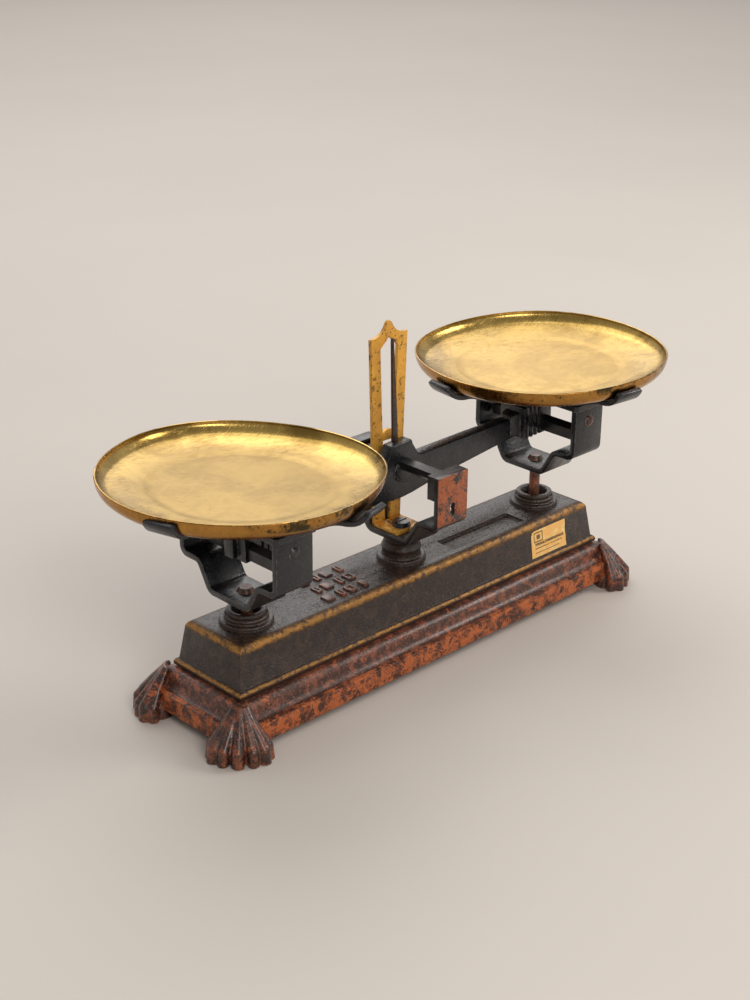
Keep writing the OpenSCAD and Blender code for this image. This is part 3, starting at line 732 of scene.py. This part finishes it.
def paintBase(piece):  # gilt on the two beads, rust on the plinth
    piece.data.materials.clear()
    for finish in (iron["blackIron"], lineGilt, iron["ogeeIron"], iron["plinthRust"], iron["roughIron"]):
        piece.data.materials.append(finish)
    b = base
    lineLow = b["plinthHigh"] + 2 * b["ogee"]
    for face in piece.data.polygons:
        c = face.center / mm
        n = face.normal
        lean = max(abs(n.x), abs(n.y))
        within = (abs(c.x) < b["topLong"] + b["plinthOut"] - 5.5
                  and abs(c.y) < b["topWide"] + b["plinthOut"] - 5.5)
        facingIn = c.x * n.x < 0 or c.y * n.y < 0 or n.z < -0.5
        inside = within and facingIn and c.z < b["plate"] - b["iron"] + 0.1
        onBead = abs(c.x) > b["topLong"] - b["bead"] - 0.4 or abs(c.y) > b["topWide"] - b["bead"] - 0.4
        if inside and (c.z < b["plinthLow"] + 0.5 or abs(c.y) < b["topWide"] - b["iron"] + b["plinthOut"]):
            face.material_index = 4
        elif c.z < b["plinthHigh"] + 0.4:
            face.material_index = 3
        elif c.z < lineLow + 0.2:
            face.material_index = 2
        elif c.z < lineLow + 2 * b["line"]:
            face.material_index = 1
        elif c.z > b["plate"] - b["bead"] and lean > 0.04 and onBead:
            face.material_index = 1


baseCasting = makeBase()
handOver(baseCasting, "base", None, ["base_casting"])
paintBase(baseCasting)

def turnedCollar(name, rim, top, bore):
    p = base["plate"]
    skirt = rim + collar["skirt"]
    outside = ([(skirt + 0.8, p - 1.5), (skirt + 0.8, p + 0.5)]
               + arcPoints((skirt - 0.9, p + 1.2), 1.7, -20, 70, 5)
               + arcPoints((rim + 1.9, p + 3.6), 1.3, 262, 186, 5)
               + arcPoints((rim - 0.2, (p + top) / 2 + 0.2), 1.5, -50, 60, 6)
               + [(rim - 0.2, top - 4.2), (rim - 1.4, top - 3.6), (rim - 1.5, top - 3.0)]
               + [(rim - 0.2, top - 2.5), (rim, top - 1.6), (rim - 0.1, top - 0.5), (rim - 0.8, top)])
    if bore:
        profile = outside + [(bore + 0.8, top), (bore, top - 0.8), (bore, p - 5), (skirt, p - 5),
                             (skirt + 0.8, p - 1.5)]
    else:
        profile = [(0, p - 5), (skirt, p - 5)] + outside + [(0, top)]
    return lathe(name, profile, 72)


for sideName, place in collarPlace.items():
    ring = turnedCollar(sideName + "Collar", collar["rim"], collar["top"], collar["bore"])
    settle(ring, (place, 0, 0))
    handOver(ring, "base", iron["blackIron"], angle=50)
boss = turnedCollar("centreBoss", collar["bossRim"], collar["bossTop"], 0)
handOver(boss, "base", iron["blackIron"], angle=50)

lettering = {"rows": 3, "row": 13.4, "count": 4, "pitch": 10.0, "left": -84.0, "wide": 7.2, "narrow": 4.6,
             "deep": 8.6, "high": 2.4, "proud": 1.5, "line": 1.3, "sunk": 1.1}


def makeRaisedBars():  # plain bars where the casting carries raised marks
    bars = []
    m = lettering
    z = base["plate"] + m["proud"] - m["high"] / 2
    for row in range(m["rows"]):
        for i in range(m["count"]):
            wide = m["wide"] if (i + row) % 2 == 0 else m["narrow"]
            x = m["left"] + 4 + i * m["pitch"] + row * 1.2 + (m["wide"] - wide) / 2
            bar = block("bar", (wide, m["deep"], m["high"]), (x, (row - 1) * m["row"], z))
            openMesh(bar)
            selectWhere(bar, lambda c, n: n.z > 0.9, "FACE")
            bpy.ops.transform.resize(value=(0.86, 0.9, 1))
            if (i * 2 + row) % 3 != 0:  # some are open in the middle
                bpy.ops.mesh.inset(thickness=m["line"] * mm, depth=0)
                grow((0, 0, -m["sunk"]))
            closeMesh()
            soften(bar, 0.35, 2)
            bars.append(bar)
    return weldTogether(bars, "raisedBars")


handOver(makeRaisedBars(), "base", iron["ogeeIron"])

stayLug = {"bore": 3.0, "round": 8, "thick": 4, "apart": 5.3, "top": 59}
lugs = []
for side in (-1, 1):
    z0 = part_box("stay_pin")[0].z / mm + stayLug["bore"]
    outline = [(-stayLug["round"], stayLug["top"]), *arcPoints((0, z0), stayLug["round"], 180, 360, 14),
               (stayLug["round"], stayLug["top"])]
    lug = plate("lug", outline, stayLug["thick"], "Y", side * stayLug["apart"])
    cutAway(lug, drum("hole", stayLug["bore"], 30, (0, 0, z0), "Y"))
    soften(lug, 0.4)
    lugs.append(lug)
handOver(weldTogether(lugs, "stayLugs"), "base", iron["roughIron"])
print("base done")


paw = {"centre": (179.2, 41.5), "short": 15.1, "long": 22.1, "flute": 3.9, "top": 31.0, "count": 7,
       "fan": 31, "shin": 3.0, "sunk": -4, "grain": 0.75}


def makePaw():
    cx, cy = paw["centre"]
    parts = []
    half = math.sin(math.radians(45))

    def onDiagonal(out, across):
        return (cx + (out - across) * half, cy + (out + across) * half)

    def cone(foot, crown, footRadius, crownRadius):
        run = Vector(crown) - Vector(foot)
        middle = (Vector(crown) + Vector(foot)) / 2
        clearSelection()
        bpy.ops.mesh.primitive_cone_add(vertices=20, radius1=footRadius * mm, radius2=crownRadius * mm,
                                        depth=run.length * mm, location=middle * mm,
                                        rotation=run.to_track_quat("Z", "Y").to_euler())
        bpy.ops.object.transform_apply(location=True, rotation=True, scale=True)
        parts.append(bpy.context.object)

    def knuckle(place, radius):
        clearSelection()
        bpy.ops.mesh.primitive_uv_sphere_add(segments=20, ring_count=12, radius=radius * mm,
                                             location=Vector(place) * mm)
        parts.append(bpy.context.object)

    # each flute drops from the crown, swells at the knuckle and stands on the floor
    low = paw["sunk"]
    for i in range(paw["count"]):
        a = math.radians((i - (paw["count"] - 1) / 2) * paw["fan"])
        out = (paw["short"] - paw["flute"] + 0.3) * math.cos(a)
        across = (paw["long"] - paw["flute"] + 0.3) * math.sin(a)
        big = 1.0 if i % 2 == 1 else 0.86
        thick, thin = paw["flute"] * big, paw["shin"] * big
        toe = (*onDiagonal(out, across), low)
        knee = (*onDiagonal(out * 0.93, across * 0.93), 8.5)
        shin = (*onDiagonal(out * 0.52 - 3.2, across * 0.58), 19.0)
        crown = (*onDiagonal(-8.5 + out * 0.10, across * 0.20), paw["top"])
        cone(toe, knee, thick, thick * 1.04)
        cone(knee, shin, thick * 1.04, thin)
        cone(shin, crown, thin, 1.7)
        knuckle(knee, thick * 1.06)
        knuckle(shin, 3.05 * big)
    cone((*onDiagonal(-2.8, 0), low), (*onDiagonal(-4.0, 0), 9), 12.6, 12.2)
    cone((*onDiagonal(-4.0, 0), 9), (*onDiagonal(-9, 0), paw["top"] - 2), 12.2, 4.5)
    for side in (-1, 1):
        cone((*onDiagonal(-3.0, side * 9.5), low), (*onDiagonal(-6.5, side * 7.0), 14), 8.2, 5.4)
    piece = weldTogether(parts, "backRightPaw")
    bpy.ops.object.transform_apply(location=True, rotation=True, scale=True)
    merge = piece.modifiers.new("one skin", "REMESH")
    merge.mode = "VOXEL"
    merge.voxel_size = paw["grain"] * mm
    relax = piece.modifiers.new("relax", "SMOOTH")
    relax.factor = 0.5
    relax.iterations = 4
    applyAll(piece)
    bpy.ops.object.mode_set(mode="EDIT")
    bpy.ops.mesh.select_all(action="SELECT")
    bpy.ops.mesh.bisect(plane_co=(0, 0, 0.00005), plane_no=(0, 0, 1), use_fill=True, clear_inner=True)
    healNormals()
    closeMesh()
    return piece


paws = {"backRightPaw": makePaw()}
paws["backLeftPaw"] = copyOf(paws["backRightPaw"], "backLeftPaw", (-1, 1, 1))
paws["frontRightPaw"] = copyOf(paws["backRightPaw"], "frontRightPaw", (1, -1, 1))
paws["frontLeftPaw"] = copyOf(paws["backRightPaw"], "frontLeftPaw", (-1, -1, 1))
for piece in paws.values():
    handOver(piece, "base", iron["pawIron"], angle=60)
print("paws done")

label = {"size": (37.0, 20.0), "left": 102.9, "thick": 0.16, "wallLow": 36.2}


def makeLabel():
    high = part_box("paper_label")[1]
    clearSelection()
    bpy.ops.mesh.primitive_grid_add(x_subdivisions=24, y_subdivisions=14, size=2, calc_uvs=True)
    piece = bpy.context.object
    piece.name = "paperLabel"
    w, h = label["size"]
    piece.scale = (w / 2 * mm, h / 2 * mm, 1)
    bpy.ops.object.transform_apply(location=False, rotation=False, scale=True)
    openMesh(piece)
    selectWhere(piece, lambda p: p.x > w / 2 - 3.2 and p.y < -h / 2 + 2.6)
    bpy.ops.transform.translate(value=(0, 0, 0.25 * mm))
    selectWhere(piece, lambda p: p.x < -w / 2 + 1.8 and p.y > h / 2 - 1.7)
    bpy.ops.transform.translate(value=(0.8 * mm, -0.5 * mm, 0.12 * mm))
    selectWhere(piece, lambda p: p.x > w / 2 - 0.5 and abs(p.y - 2) < 3)
    bpy.ops.transform.translate(value=(-0.5 * mm, 0, 0))
    closeMesh()
    body = piece.modifiers.new("thickness", "SOLIDIFY")
    body.thickness = label["thick"] * mm
    body.offset = 1
    applyAll(piece)
    rise = math.degrees(math.atan2(base["batter"], base["plate"] - base["bead"] - label["wallLow"]))
    settle(piece, turn=90 - rise, axis="X")
    top = max(v.co.z for v in piece.data.vertices)
    back = max(v.co.y for v in piece.data.vertices)
    settle(piece, (label["left"] + w / 2, (high.y - back) / mm, (high.z - top) / mm))
    return piece


handOver(makeLabel(), "base", agedPaper, ["paper_label"])

strap = {"span": 93.2, "thick": 4.0, "shelf": 7.8, "rise": 18.3, "step": 6.0, "corner": 5.0, "slope": 60.0,
         "edge": 0.8, "slots": (34.5, 30.5), "slotRadius": 2.5, "stirrupHigh": 56.0}


def strapPiece(name, width, height):
    s = strap
    slope = math.radians(s["slope"])
    length = (s["rise"] - 2 * s["step"] * (1 - math.cos(slope))) / math.sin(slope)
    run = length * math.cos(slope) + 2 * s["step"] * math.sin(slope)
    foot = s["span"] / 2 - s["thick"] / 2 - s["corner"] - s["shelf"] - run
    up = height - s["thick"] / 2 - s["rise"] - s["corner"]
    shelf, step, corner, tilt = s["shelf"], s["step"], s["corner"], s["slope"]
    bends = [(up, corner, 90), (shelf, step, -tilt), (length, step, tilt), (2 * foot, step, tilt),
             (length, step, -tilt), (shelf, corner, 90), (up, 0, 0)]
    path = walkBends((-(s["span"] - s["thick"]) / 2, height, -90), bends, 7)
    return plate(name, bentStrip(path, s["thick"]), width, "X")


forkLow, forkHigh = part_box("fork")
fork = strapPiece("fork", (forkHigh.x - forkLow.x) / mm, (forkHigh.z - forkLow.z) / mm)
for height in strap["slots"]:
    cutAway(fork, drum("slot", strap["slotRadius"], 120, (0, 0, height), "Y", 32))
soften(fork, strap["edge"], 2)
settle(fork, (0, 0, forkLow.z / mm))
handOver(fork, "base", forkIron, ["fork"])

carriers = {}
for sideName in ("left", "right"):
    low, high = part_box(sideName + "_stirrup")
    carriers[sideName] = {"x": (low.x + high.x) / 2 / mm, "z": low.z / mm, "wide": (high.x - low.x) / mm}

tenon = {"size": (12, 4, 5), "out": 44.6, "middle": 57.6, "slot": (12.6, 4.6, 12)}
stirrup = strapPiece("leftStirrup", carriers["left"]["wide"], strap["stirrupHigh"])
for side in (-1, 1):
    end = block("tenon", tenon["size"], (0, side * tenon["out"], tenon["middle"]))
    soften(end, 0.4)
    stirrup = weldTogether([stirrup, end], "leftStirrup")
soften(stirrup, strap["edge"], 2, 40)
stirrups = {"left": stirrup, "right": copyOf(stirrup, "rightStirrup")}


def cutCorners(halfX, halfY, cut):
    return [(halfX, -halfY + cut), (halfX, halfY - cut), (halfX - cut, halfY), (-halfX + cut, halfY),
            (-halfX, halfY - cut), (-halfX, -halfY + cut), (-halfX + cut, -halfY), (halfX - cut, -halfY)]


bridge = {"wide": 34.0, "long": 98.0, "thick": 4.0, "low": 56.0, "cut": 2.2}


def makeBridge(name):
    b = bridge
    middle = b["low"] + b["thick"] / 2
    piece = plate(name, cutCorners(b["wide"] / 2, b["long"] / 2, b["cut"]), b["thick"], "Z", middle)
    for side in (-1, 1):
        cutAway(piece, block("slot", tenon["slot"], (0, side * tenon["out"], middle)))
    soften(piece, 0.5, 2)
    return piece


leftBridge = makeBridge("leftBridge")
bridges = {"left": leftBridge, "right": copyOf(leftBridge, "rightBridge")}

pan = {"radius": 88.8, "high": 12.5, "bend": 11.0, "ring": 58.0, "ripple": 0.35,
       # floor tone per pan: the left pan's floor is painted darker as painted shade
       "paintedFloorLight": {"left": 0.54, "right": 0.84},
       "lean": {"left": (-4.6, 0.4), "right": (1.8, -0.9)},  # rise at the rim along x and y
       # waves and outOfRound: turns, then cosine and sine at the rim
       "waves": {"left": ((2, -1.0, -0.8), (3, 0.0, 1.3)), "right": ((3, -0.45, 0.75),)},
       "outOfRound": {"left": ((2, 1.5, 0.5), (4, 1.9, -1.8)), "right": ((4, 0.2, 0.2),)}}
cross = {"hub": 31.4, "thick": 3.5, "low": 60.0, "wide": 23.0, "lobe": 22.0, "tip": 15.0, "edge": 0.8,
         "slope": 22.0, "bend": 25.0, "curlRadius": 14.0, "curl": 66.0, "lip": 0.8,
         "panGap": 0.3, "panLift": 74.0, "turn": {"left": 18.0, "right": -8.0}}


def makeCross(name):
    c = cross
    curl, slope, bend = c["curlRadius"], c["slope"], c["bend"]
    slant = math.sin(math.radians(45))
    curlR = pan["radius"] - pan["bend"] + (pan["bend"] + c["panGap"] - curl) * slant
    curlZ = c["panLift"] + pan["bend"] - (pan["bend"] + c["panGap"] - curl) * slant
    rise = curlZ - curl - c["thick"] - c["low"]
    length = (rise - 2 * bend * (1 - math.cos(math.radians(slope)))) / math.sin(math.radians(slope))
    flat = curlR - length * math.cos(math.radians(slope)) - 2 * bend * math.sin(math.radians(slope))
    middle = c["low"] + c["thick"] / 2
    bends = [(flat, bend, slope), (length, bend, -slope), (0, curl + c["thick"] / 2, c["curl"]),
             (c["lip"], 0, 0)]
    path = walkBends((0, middle, 0), bends, 6)
    eighth = math.radians(22.5)
    start = c["hub"] * math.cos(eighth)
    path = [(start, middle, 0)] + [p for p in path if p[0] > start + 0.5]
    clearSelection()
    bpy.ops.mesh.primitive_circle_add(vertices=8, radius=c["hub"] * mm, fill_type="NGON",
                                      location=(0, 0, middle * mm), rotation=(0, 0, eighth))
    piece = bpy.context.object
    piece.name = name
    bpy.ops.object.transform_apply(location=True, rotation=True, scale=True)
    openMesh(piece)
    rootWide = 2 * c["hub"] * math.sin(eighth)
    for quarter in range(4):
        a = math.radians(90 * quarter)
        along = Vector((math.cos(a), math.sin(a), 0))
        selectWhere(piece, lambda m: (m - along * start).xy.length < 1.0, "EDGE")
        wideNow = rootWide
        for i, (here, there) in enumerate(zip(path, path[1:])):
            grow((*(along.xy * (there[0] - here[0])), there[1] - here[1]))
            share = there[0] / path[-1][0]
            wide = c["wide"] if share < 0.86 else c["lobe"]
            if i == len(path) - 2:
                wide = c["tip"]
            elif i == len(path) - 3:
                wide = c["lobe"] - 1.0
            factor = wide / wideNow
            stretch = [1 + (factor - 1) * abs(math.sin(a)), 1 + (factor - 1) * abs(math.cos(a)), 1]
            bpy.ops.transform.resize(value=stretch)
            wideNow = wide
    healNormals()
    closeMesh()
    body = piece.modifiers.new("thickness", "SOLIDIFY")
    body.thickness = c["thick"] * mm
    body.offset = 0
    body.use_even_offset = True
    applyAll(piece)
    soften(piece, c["edge"], 2, 50)
    return piece


leftCross = makeCross("leftCross")
crosses = {"left": leftCross, "right": copyOf(leftCross, "rightCross")}
for sideName, put in carriers.items():
    shift = (put["x"], 0, put["z"])
    settle(stirrups[sideName], shift)
    settle(bridges[sideName], shift)
    settle(crosses[sideName], turn=cross["turn"][sideName])
    leans = (("Y", pan["lean"][sideName][0], -1), ("X", pan["lean"][sideName][1], 1))
    for axis, rise, sign in leans:  # it leans with its pan
        angle = sign * math.degrees(math.atan2(rise, pan["radius"]))
        settle(crosses[sideName], turn=angle, axis=axis, about=(0, 0, cross["low"]))
    settle(crosses[sideName], shift)
    body = sideName + "_carrier"
    handOver(stirrups[sideName], body, iron["blackSteel"], [sideName + "_stirrup"])
    handOver(bridges[sideName], body, iron["blackSteel"], [sideName + "_bridge"])
    handOver(crosses[sideName], body, iron["blackSteel"], [sideName + "_cross"], 50)
print("fork, stirrups and crosses done")

beam = {"tilt": -2.75, "arm": 137.2, "thick": 9.0, "back": 4.0, "drop": 20.0, "over": 10.3, "neck": 21.5,
        "humpWide": 9.4, "humpHigh": 19.4, "edge": 1.1, "hub": (28.5, 23.0, 23.5), "groove": (1.7, 2.6, 40),
        "knifeDrop": 10.9}
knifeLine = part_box("fork")[1].z / mm - beam["knifeDrop"]


def makeBeam():
    b = beam
    arm = b["arm"]
    low = -b["drop"]
    half = ([(0, low), (b["humpWide"], low + 0.5), (arm * 0.2, low + 2.6), (arm * 0.4, low + 5.0),
             (arm - b["neck"], low + 8.6), (arm + b["over"], low + 8.6), (arm + b["over"], 8.0),
             (arm - b["neck"], 2.4), (arm * 0.5, 4.6), (21.4, 6.2)]
            + arcPoints((19.4, 12.2), 6, 270, 195, 8)
            + [(10.6, 15.6), (b["humpWide"], b["humpHigh"])])
    outline = half + [(-x, z) for x, z in half[::-1] if x > 0]
    piece = plate("beam", outline, b["thick"], "Y", b["back"])
    soften(piece, b["edge"], 3, 40)
    parts = [piece]
    long, deep, high = b["hub"]
    for side in (-1, 1):
        hub = block("hub", (long, deep, high), (side * (arm - long / 2 + 6), b["back"], -1.25))
        for front in (-1, 1):
            for i in range(3):
                place = (side * (arm - 17 + i * 4.6), b["back"] + front * deep / 2, 0)
                cutAway(hub, block("groove", b["groove"], place))
        soften(hub, 0.7, 2)
        parts.append(hub)
        shoulder = block("shoulder", (9, 15, 19), (side * (arm - long + 3), b["back"], -2.5))
        openMesh(shoulder)
        selectWhere(shoulder, lambda c, n: n.x * side < -0.9, "FACE")
        bpy.ops.transform.resize(value=(1, 0.66, 0.8))
        closeMesh()
        soften(shoulder, 1.4, 3)
        parts.append(shoulder)
    piece = weldTogether(parts, "beam")
    middleBoss = drum("boss", 7.5, 12.5, (0, b["back"], -1.0), "Y", 40)
    soften(middleBoss, 0.8, 2)
    piece = weldTogether([piece, middleBoss], "beam")
    return settle(piece, (0, 0, knifeLine), b["tilt"], "Y")


handOver(makeBeam(), "beam", iron["blackSteel"], ["beam"], 40)

gate = {"y": 14.75, "thick": 2.5, "half": 16.6, "lean": 0.035, "crown": 10.2, "window": 67.4,
        "foot": 2.0, "footDeep": 23.6, "footMiddle": 4.2}


def makePointerFrame():
    low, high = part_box("pointer_frame")
    g = gate
    bottom = low.z / mm
    top = high.z / mm - g["crown"]
    sill = top - g["window"]

    def outer(z):
        return g["half"] - g["lean"] * (top - z)

    def inner(z):
        return outer(z) - 8.2 - 0.011 * (top - z)

    right = ([(outer(bottom), bottom), (outer(sill), sill), (outer(top), top)]
             + arcPoints((g["half"] - 2.1, top + 13), 13, 262, 199, 8))
    outline = right + [(0, top + g["crown"])] + [(-x, z) for x, z in right[::-1]]
    piece = plate("pointerFrame", outline, g["thick"], "Y", g["y"])
    bow = inner(sill) + 0.1
    corner = inner(top - 8)
    window = ([(bow, sill), (corner, top - 8), (0, top - 0.6), (-corner, top - 8), (-bow, sill)]
              + arcPoints((0, sill - 5.6), 7.9, 138, 42, 8)[1:-1])
    cutAway(piece, plate("window", window, 9, "Y", g["y"]))
    knee, ankle, footTop = inner(sill - 5), inner(bottom), bottom + g["foot"]
    legs = [(knee, sill - 5), (-knee, sill - 5), (-ankle, footTop), (ankle, footTop)]
    cutAway(piece, plate("legGap", legs, 9, "Y", g["y"]))
    footPlate = block("foot", (2 * outer(bottom), g["footDeep"], g["foot"]),
                      (0, g["footMiddle"], bottom + g["foot"] / 2))
    cutAway(footPlate, drum("hole", 4.0, 12, (0, 0, bottom)))
    piece = weldTogether([piece, footPlate], "pointerFrame")
    soften(piece, 0.35, 2, 40)
    return piece


handOver(makePointerFrame(), "base", frameGilt, ["pointer_frame"])

needle = {"y": 6.5, "thick": 2.0, "foot": 12.6, "shoulder": 19.6, "tip": 91.2}


def makeNeedle():
    n = needle
    half = [(2.1, n["foot"]), (2.2, n["shoulder"]), (1.9, 40), (0.75, n["tip"] - 2), (0.2, n["tip"])]
    outline = half + [(-x, z) for x, z in half[::-1]]
    piece = plate("needle", outline, n["thick"], "Y", n["y"])
    soften(piece, 0.4, 2)
    return settle(piece, (0, 0, knifeLine), beam["tilt"], "Y")


handOver(makeNeedle(), "beam", iron["needleIron"], ["pointer_needle"])
print("beam and pointer done")

def makePan(name):
    rim, ring, high, bend = (pan[key] for key in ("radius", "ring", "high", "bend"))
    outer = ([(0, 0.3), (ring - 3, 0.3), (ring, 0.1), (rim - bend - 1.5, 0.1)]
             + arcPoints((rim - bend - 0.3, bend), bend, 273, 358, 10)
             + [(rim - 0.05, high - 0.9), (rim, high - 0.5), (rim - 0.25, high - 0.1), (rim - 0.7, high),
                (rim - 1.15, high - 0.3)])
    wall = [(rim - 1.0, 10.7), (rim - 2.0, 9.0), (rim - 3.4, 7.4), (rim - 5.2, 6.0), (rim - 7.6, 4.9)]
    dish = [(ring + 18, 4.0), (ring + 14, 3.2), (ring + 10, 2.55), (ring + 6, 2.05), (ring + 3.0, 1.75),
            (ring + 0.8, 1.50), (ring - 1.6, 0.80), (ring - 5, 0.80), (ring - 20, 0.88), (0, 0.95)]
    profile = withoutRepeats(outer + wall + dish)
    piece = lathe(name, profile, 144)
    clouds = bpy.data.textures.new("panRipple", "CLOUDS")
    clouds.noise_scale = 0.075
    clouds.noise_depth = 1
    ripple = piece.modifiers.new("ripple", "DISPLACE")
    ripple.texture = clouds
    ripple.texture_coords = "LOCAL"
    ripple.direction = "Z"
    ripple.mid_level = 0.5
    ripple.strength = pan["ripple"] * mm
    applyAll(piece)
    return piece


def waveAt(angle, turns, cosine, sine):
    return cosine * math.cos(turns * angle) + sine * math.sin(turns * angle)


def bendOutOfTrue(piece, sideName):  # an old thin pan is never quite round or flat
    for point in piece.data.vertices:
        x, y = point.co.x / mm, point.co.y / mm
        r, a = math.hypot(x, y), math.atan2(y, x)
        share = r / pan["radius"]
        rise = sum(share ** n * waveAt(a, n, c, d) for n, c, d in pan["waves"][sideName])
        spread = sum(share ** 6 * waveAt(a, n, c, d) for n, c, d in pan["outOfRound"][sideName])
        if r > 0:
            point.co.x += x / r * spread * mm
            point.co.y += y / r * spread * mm
        point.co.z += rise * mm


leftPan = makePan("leftPan")
pans = {"left": leftPan, "right": copyOf(leftPan, "rightPan")}
settle(pans["right"], turn=130)
for sideName, piece in pans.items():
    bendOutOfTrue(piece, sideName)
    low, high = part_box(sideName + "_pan")
    centre = ((low.x + high.x) / 2, (low.y + high.y) / 2, low.z)
    settle(piece, turn=-math.degrees(math.atan2(pan["lean"][sideName][0], pan["radius"])), axis="Y")
    settle(piece, turn=math.degrees(math.atan2(pan["lean"][sideName][1], pan["radius"])), axis="X")
    settle(piece, [v / mm for v in centre])
    brass = makeBrass(sideName + "Brass", centre, pan["paintedFloorLight"][sideName])
    handOver(piece, sideName + "_pan", brass, [sideName + "_pan"], 45)
print("pans done")

kept = {"fork_screw": "rivetBlack", "fork_bearing_front": "bearingSteel", "fork_bearing_rear": "bearingSteel",
        "stay_pin": "roughIron", "stay_bar": "roughIron", "centre_knife": "knifeSteel"}
for sideName in ("left", "right"):
    kept.update({sideName + "_knife": "knifeSteel", sideName + "_cross_rivet": "rivetBlack",
                 sideName + "_bearing_front": "bearingSteel", sideName + "_bearing_rear": "bearingSteel",
                 sideName + "_bearing_rivets": "rivetRust" if sideName == "right" else "rivetBlack",
                 sideName + "_rod": "rodRust", sideName + "_rod_pin": "roughIron"})
for nodeName, finish in kept.items():
    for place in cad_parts[nodeName].material_slots:
        place.material = iron[finish]
print("kept pieces painted")

stage = {"floor": (0.66, 0.605, 0.555), "nearWorld": 0.33, "farWorld": 0.59}
clearSelection()
bpy.ops.mesh.primitive_plane_add(size=14, location=(0, 0, -0.0002))
floor = bpy.context.object
floor.name = "floor"
floorFinish, tree, surface = newFinish("paleCloth", 0.0, 0.0, 0.2, 0.15)
where = placeOf(tree)
darker = [v * 0.97 for v in stage["floor"]]
lighter = [min(1, v * 1.03) for v in stage["floor"]]
tone = mixOf(tree, noiseOf(tree, where, 3.0, 3), darker, lighter)
tree.links.new(tone, surface.inputs["Base Color"])
surface.inputs["Roughness"].default_value = 0.9
giveRelief(tree, surface, noiseOf(tree, where, 900.0, 2), 0.12, 0.4)
floor.data.materials.append(floorFinish)

world = bpy.context.scene.world or bpy.data.worlds.new("studio")
bpy.context.scene.world = world
world.use_nodes = True
sky = world.node_tree
background = sky.nodes["Background"]
background.inputs[0].default_value = (1.0, 0.985, 0.965, 1)
ahead = splitOf(sky, sky.nodes.new("ShaderNodeTexCoord").outputs["Generated"])
ahead = plus(sky, times(sky, ahead[0], 0.55), times(sky, ahead[1], 0.80))
sky.links.new(rangeOf(sky, ahead, -0.5, 0.6, stage["nearWorld"], stage["farWorld"]), background.inputs[1])

lamps = {"leftSoftbox": {"place": (-0.60, -1.6, 1.25), "size": 0.8, "power": 13, "tint": (1, 0.97, 0.93)},
         "rightSoftbox": {"place": (1.35, -0.75, 1.25), "size": 0.7, "power": 12, "tint": (1, 0.97, 0.92)},
         "topPanel": {"place": (0.5, 1.3, 2.0), "size": 1.6, "power": 15, "tint": (0.97, 0.98, 1.0)},
         "farPanel": {"place": (2.2, 2.6, 2.2), "size": 2.4, "power": 28, "tint": (1, 0.98, 0.95)}}
for lampName, lamp in lamps.items():
    clearSelection()
    bpy.ops.object.light_add(type="AREA", location=lamp["place"])
    light = bpy.context.object
    light.name = lampName
    light.data.size = lamp["size"]
    light.data.energy = lamp["power"]
    light.data.color = lamp["tint"]
    light.rotation_euler = (Vector((0, 0, 0.1)) - Vector(lamp["place"])).to_track_quat("-Z", "Y").to_euler()

bpy.context.scene.view_settings.view_transform = "Standard"
shot = {"azimuth": -44.35, "elevation": 23.48, "roll": 0.45, "distance": 1.1016, "lens": 60.23,
        "target": (-0.02515, 0, 0.11212)}
az, el, roll = (math.radians(shot[k]) for k in ("azimuth", "elevation", "roll"))
back = Vector((math.sin(az) * math.cos(el), -math.cos(az) * math.cos(el), math.sin(el)))
sideways = (-back).cross(Vector((0, 0, 1))).normalized()
upward = sideways.cross(-back)
across = sideways * math.cos(roll) + upward * math.sin(roll)
above = upward * math.cos(roll) - sideways * math.sin(roll)
clearSelection()
bpy.ops.object.camera_add()
camera = bpy.context.object
camera.name = "camera"
place = Matrix.Translation(Vector(shot["target"]) + back * shot["distance"])
camera.matrix_world = place @ Matrix((across, above, back)).transposed().to_4x4()
camera.data.lens = shot["lens"]
camera.data.sensor_width = 36
camera.data.clip_end = 30
bpy.context.scene.camera = camera
print("stage done")
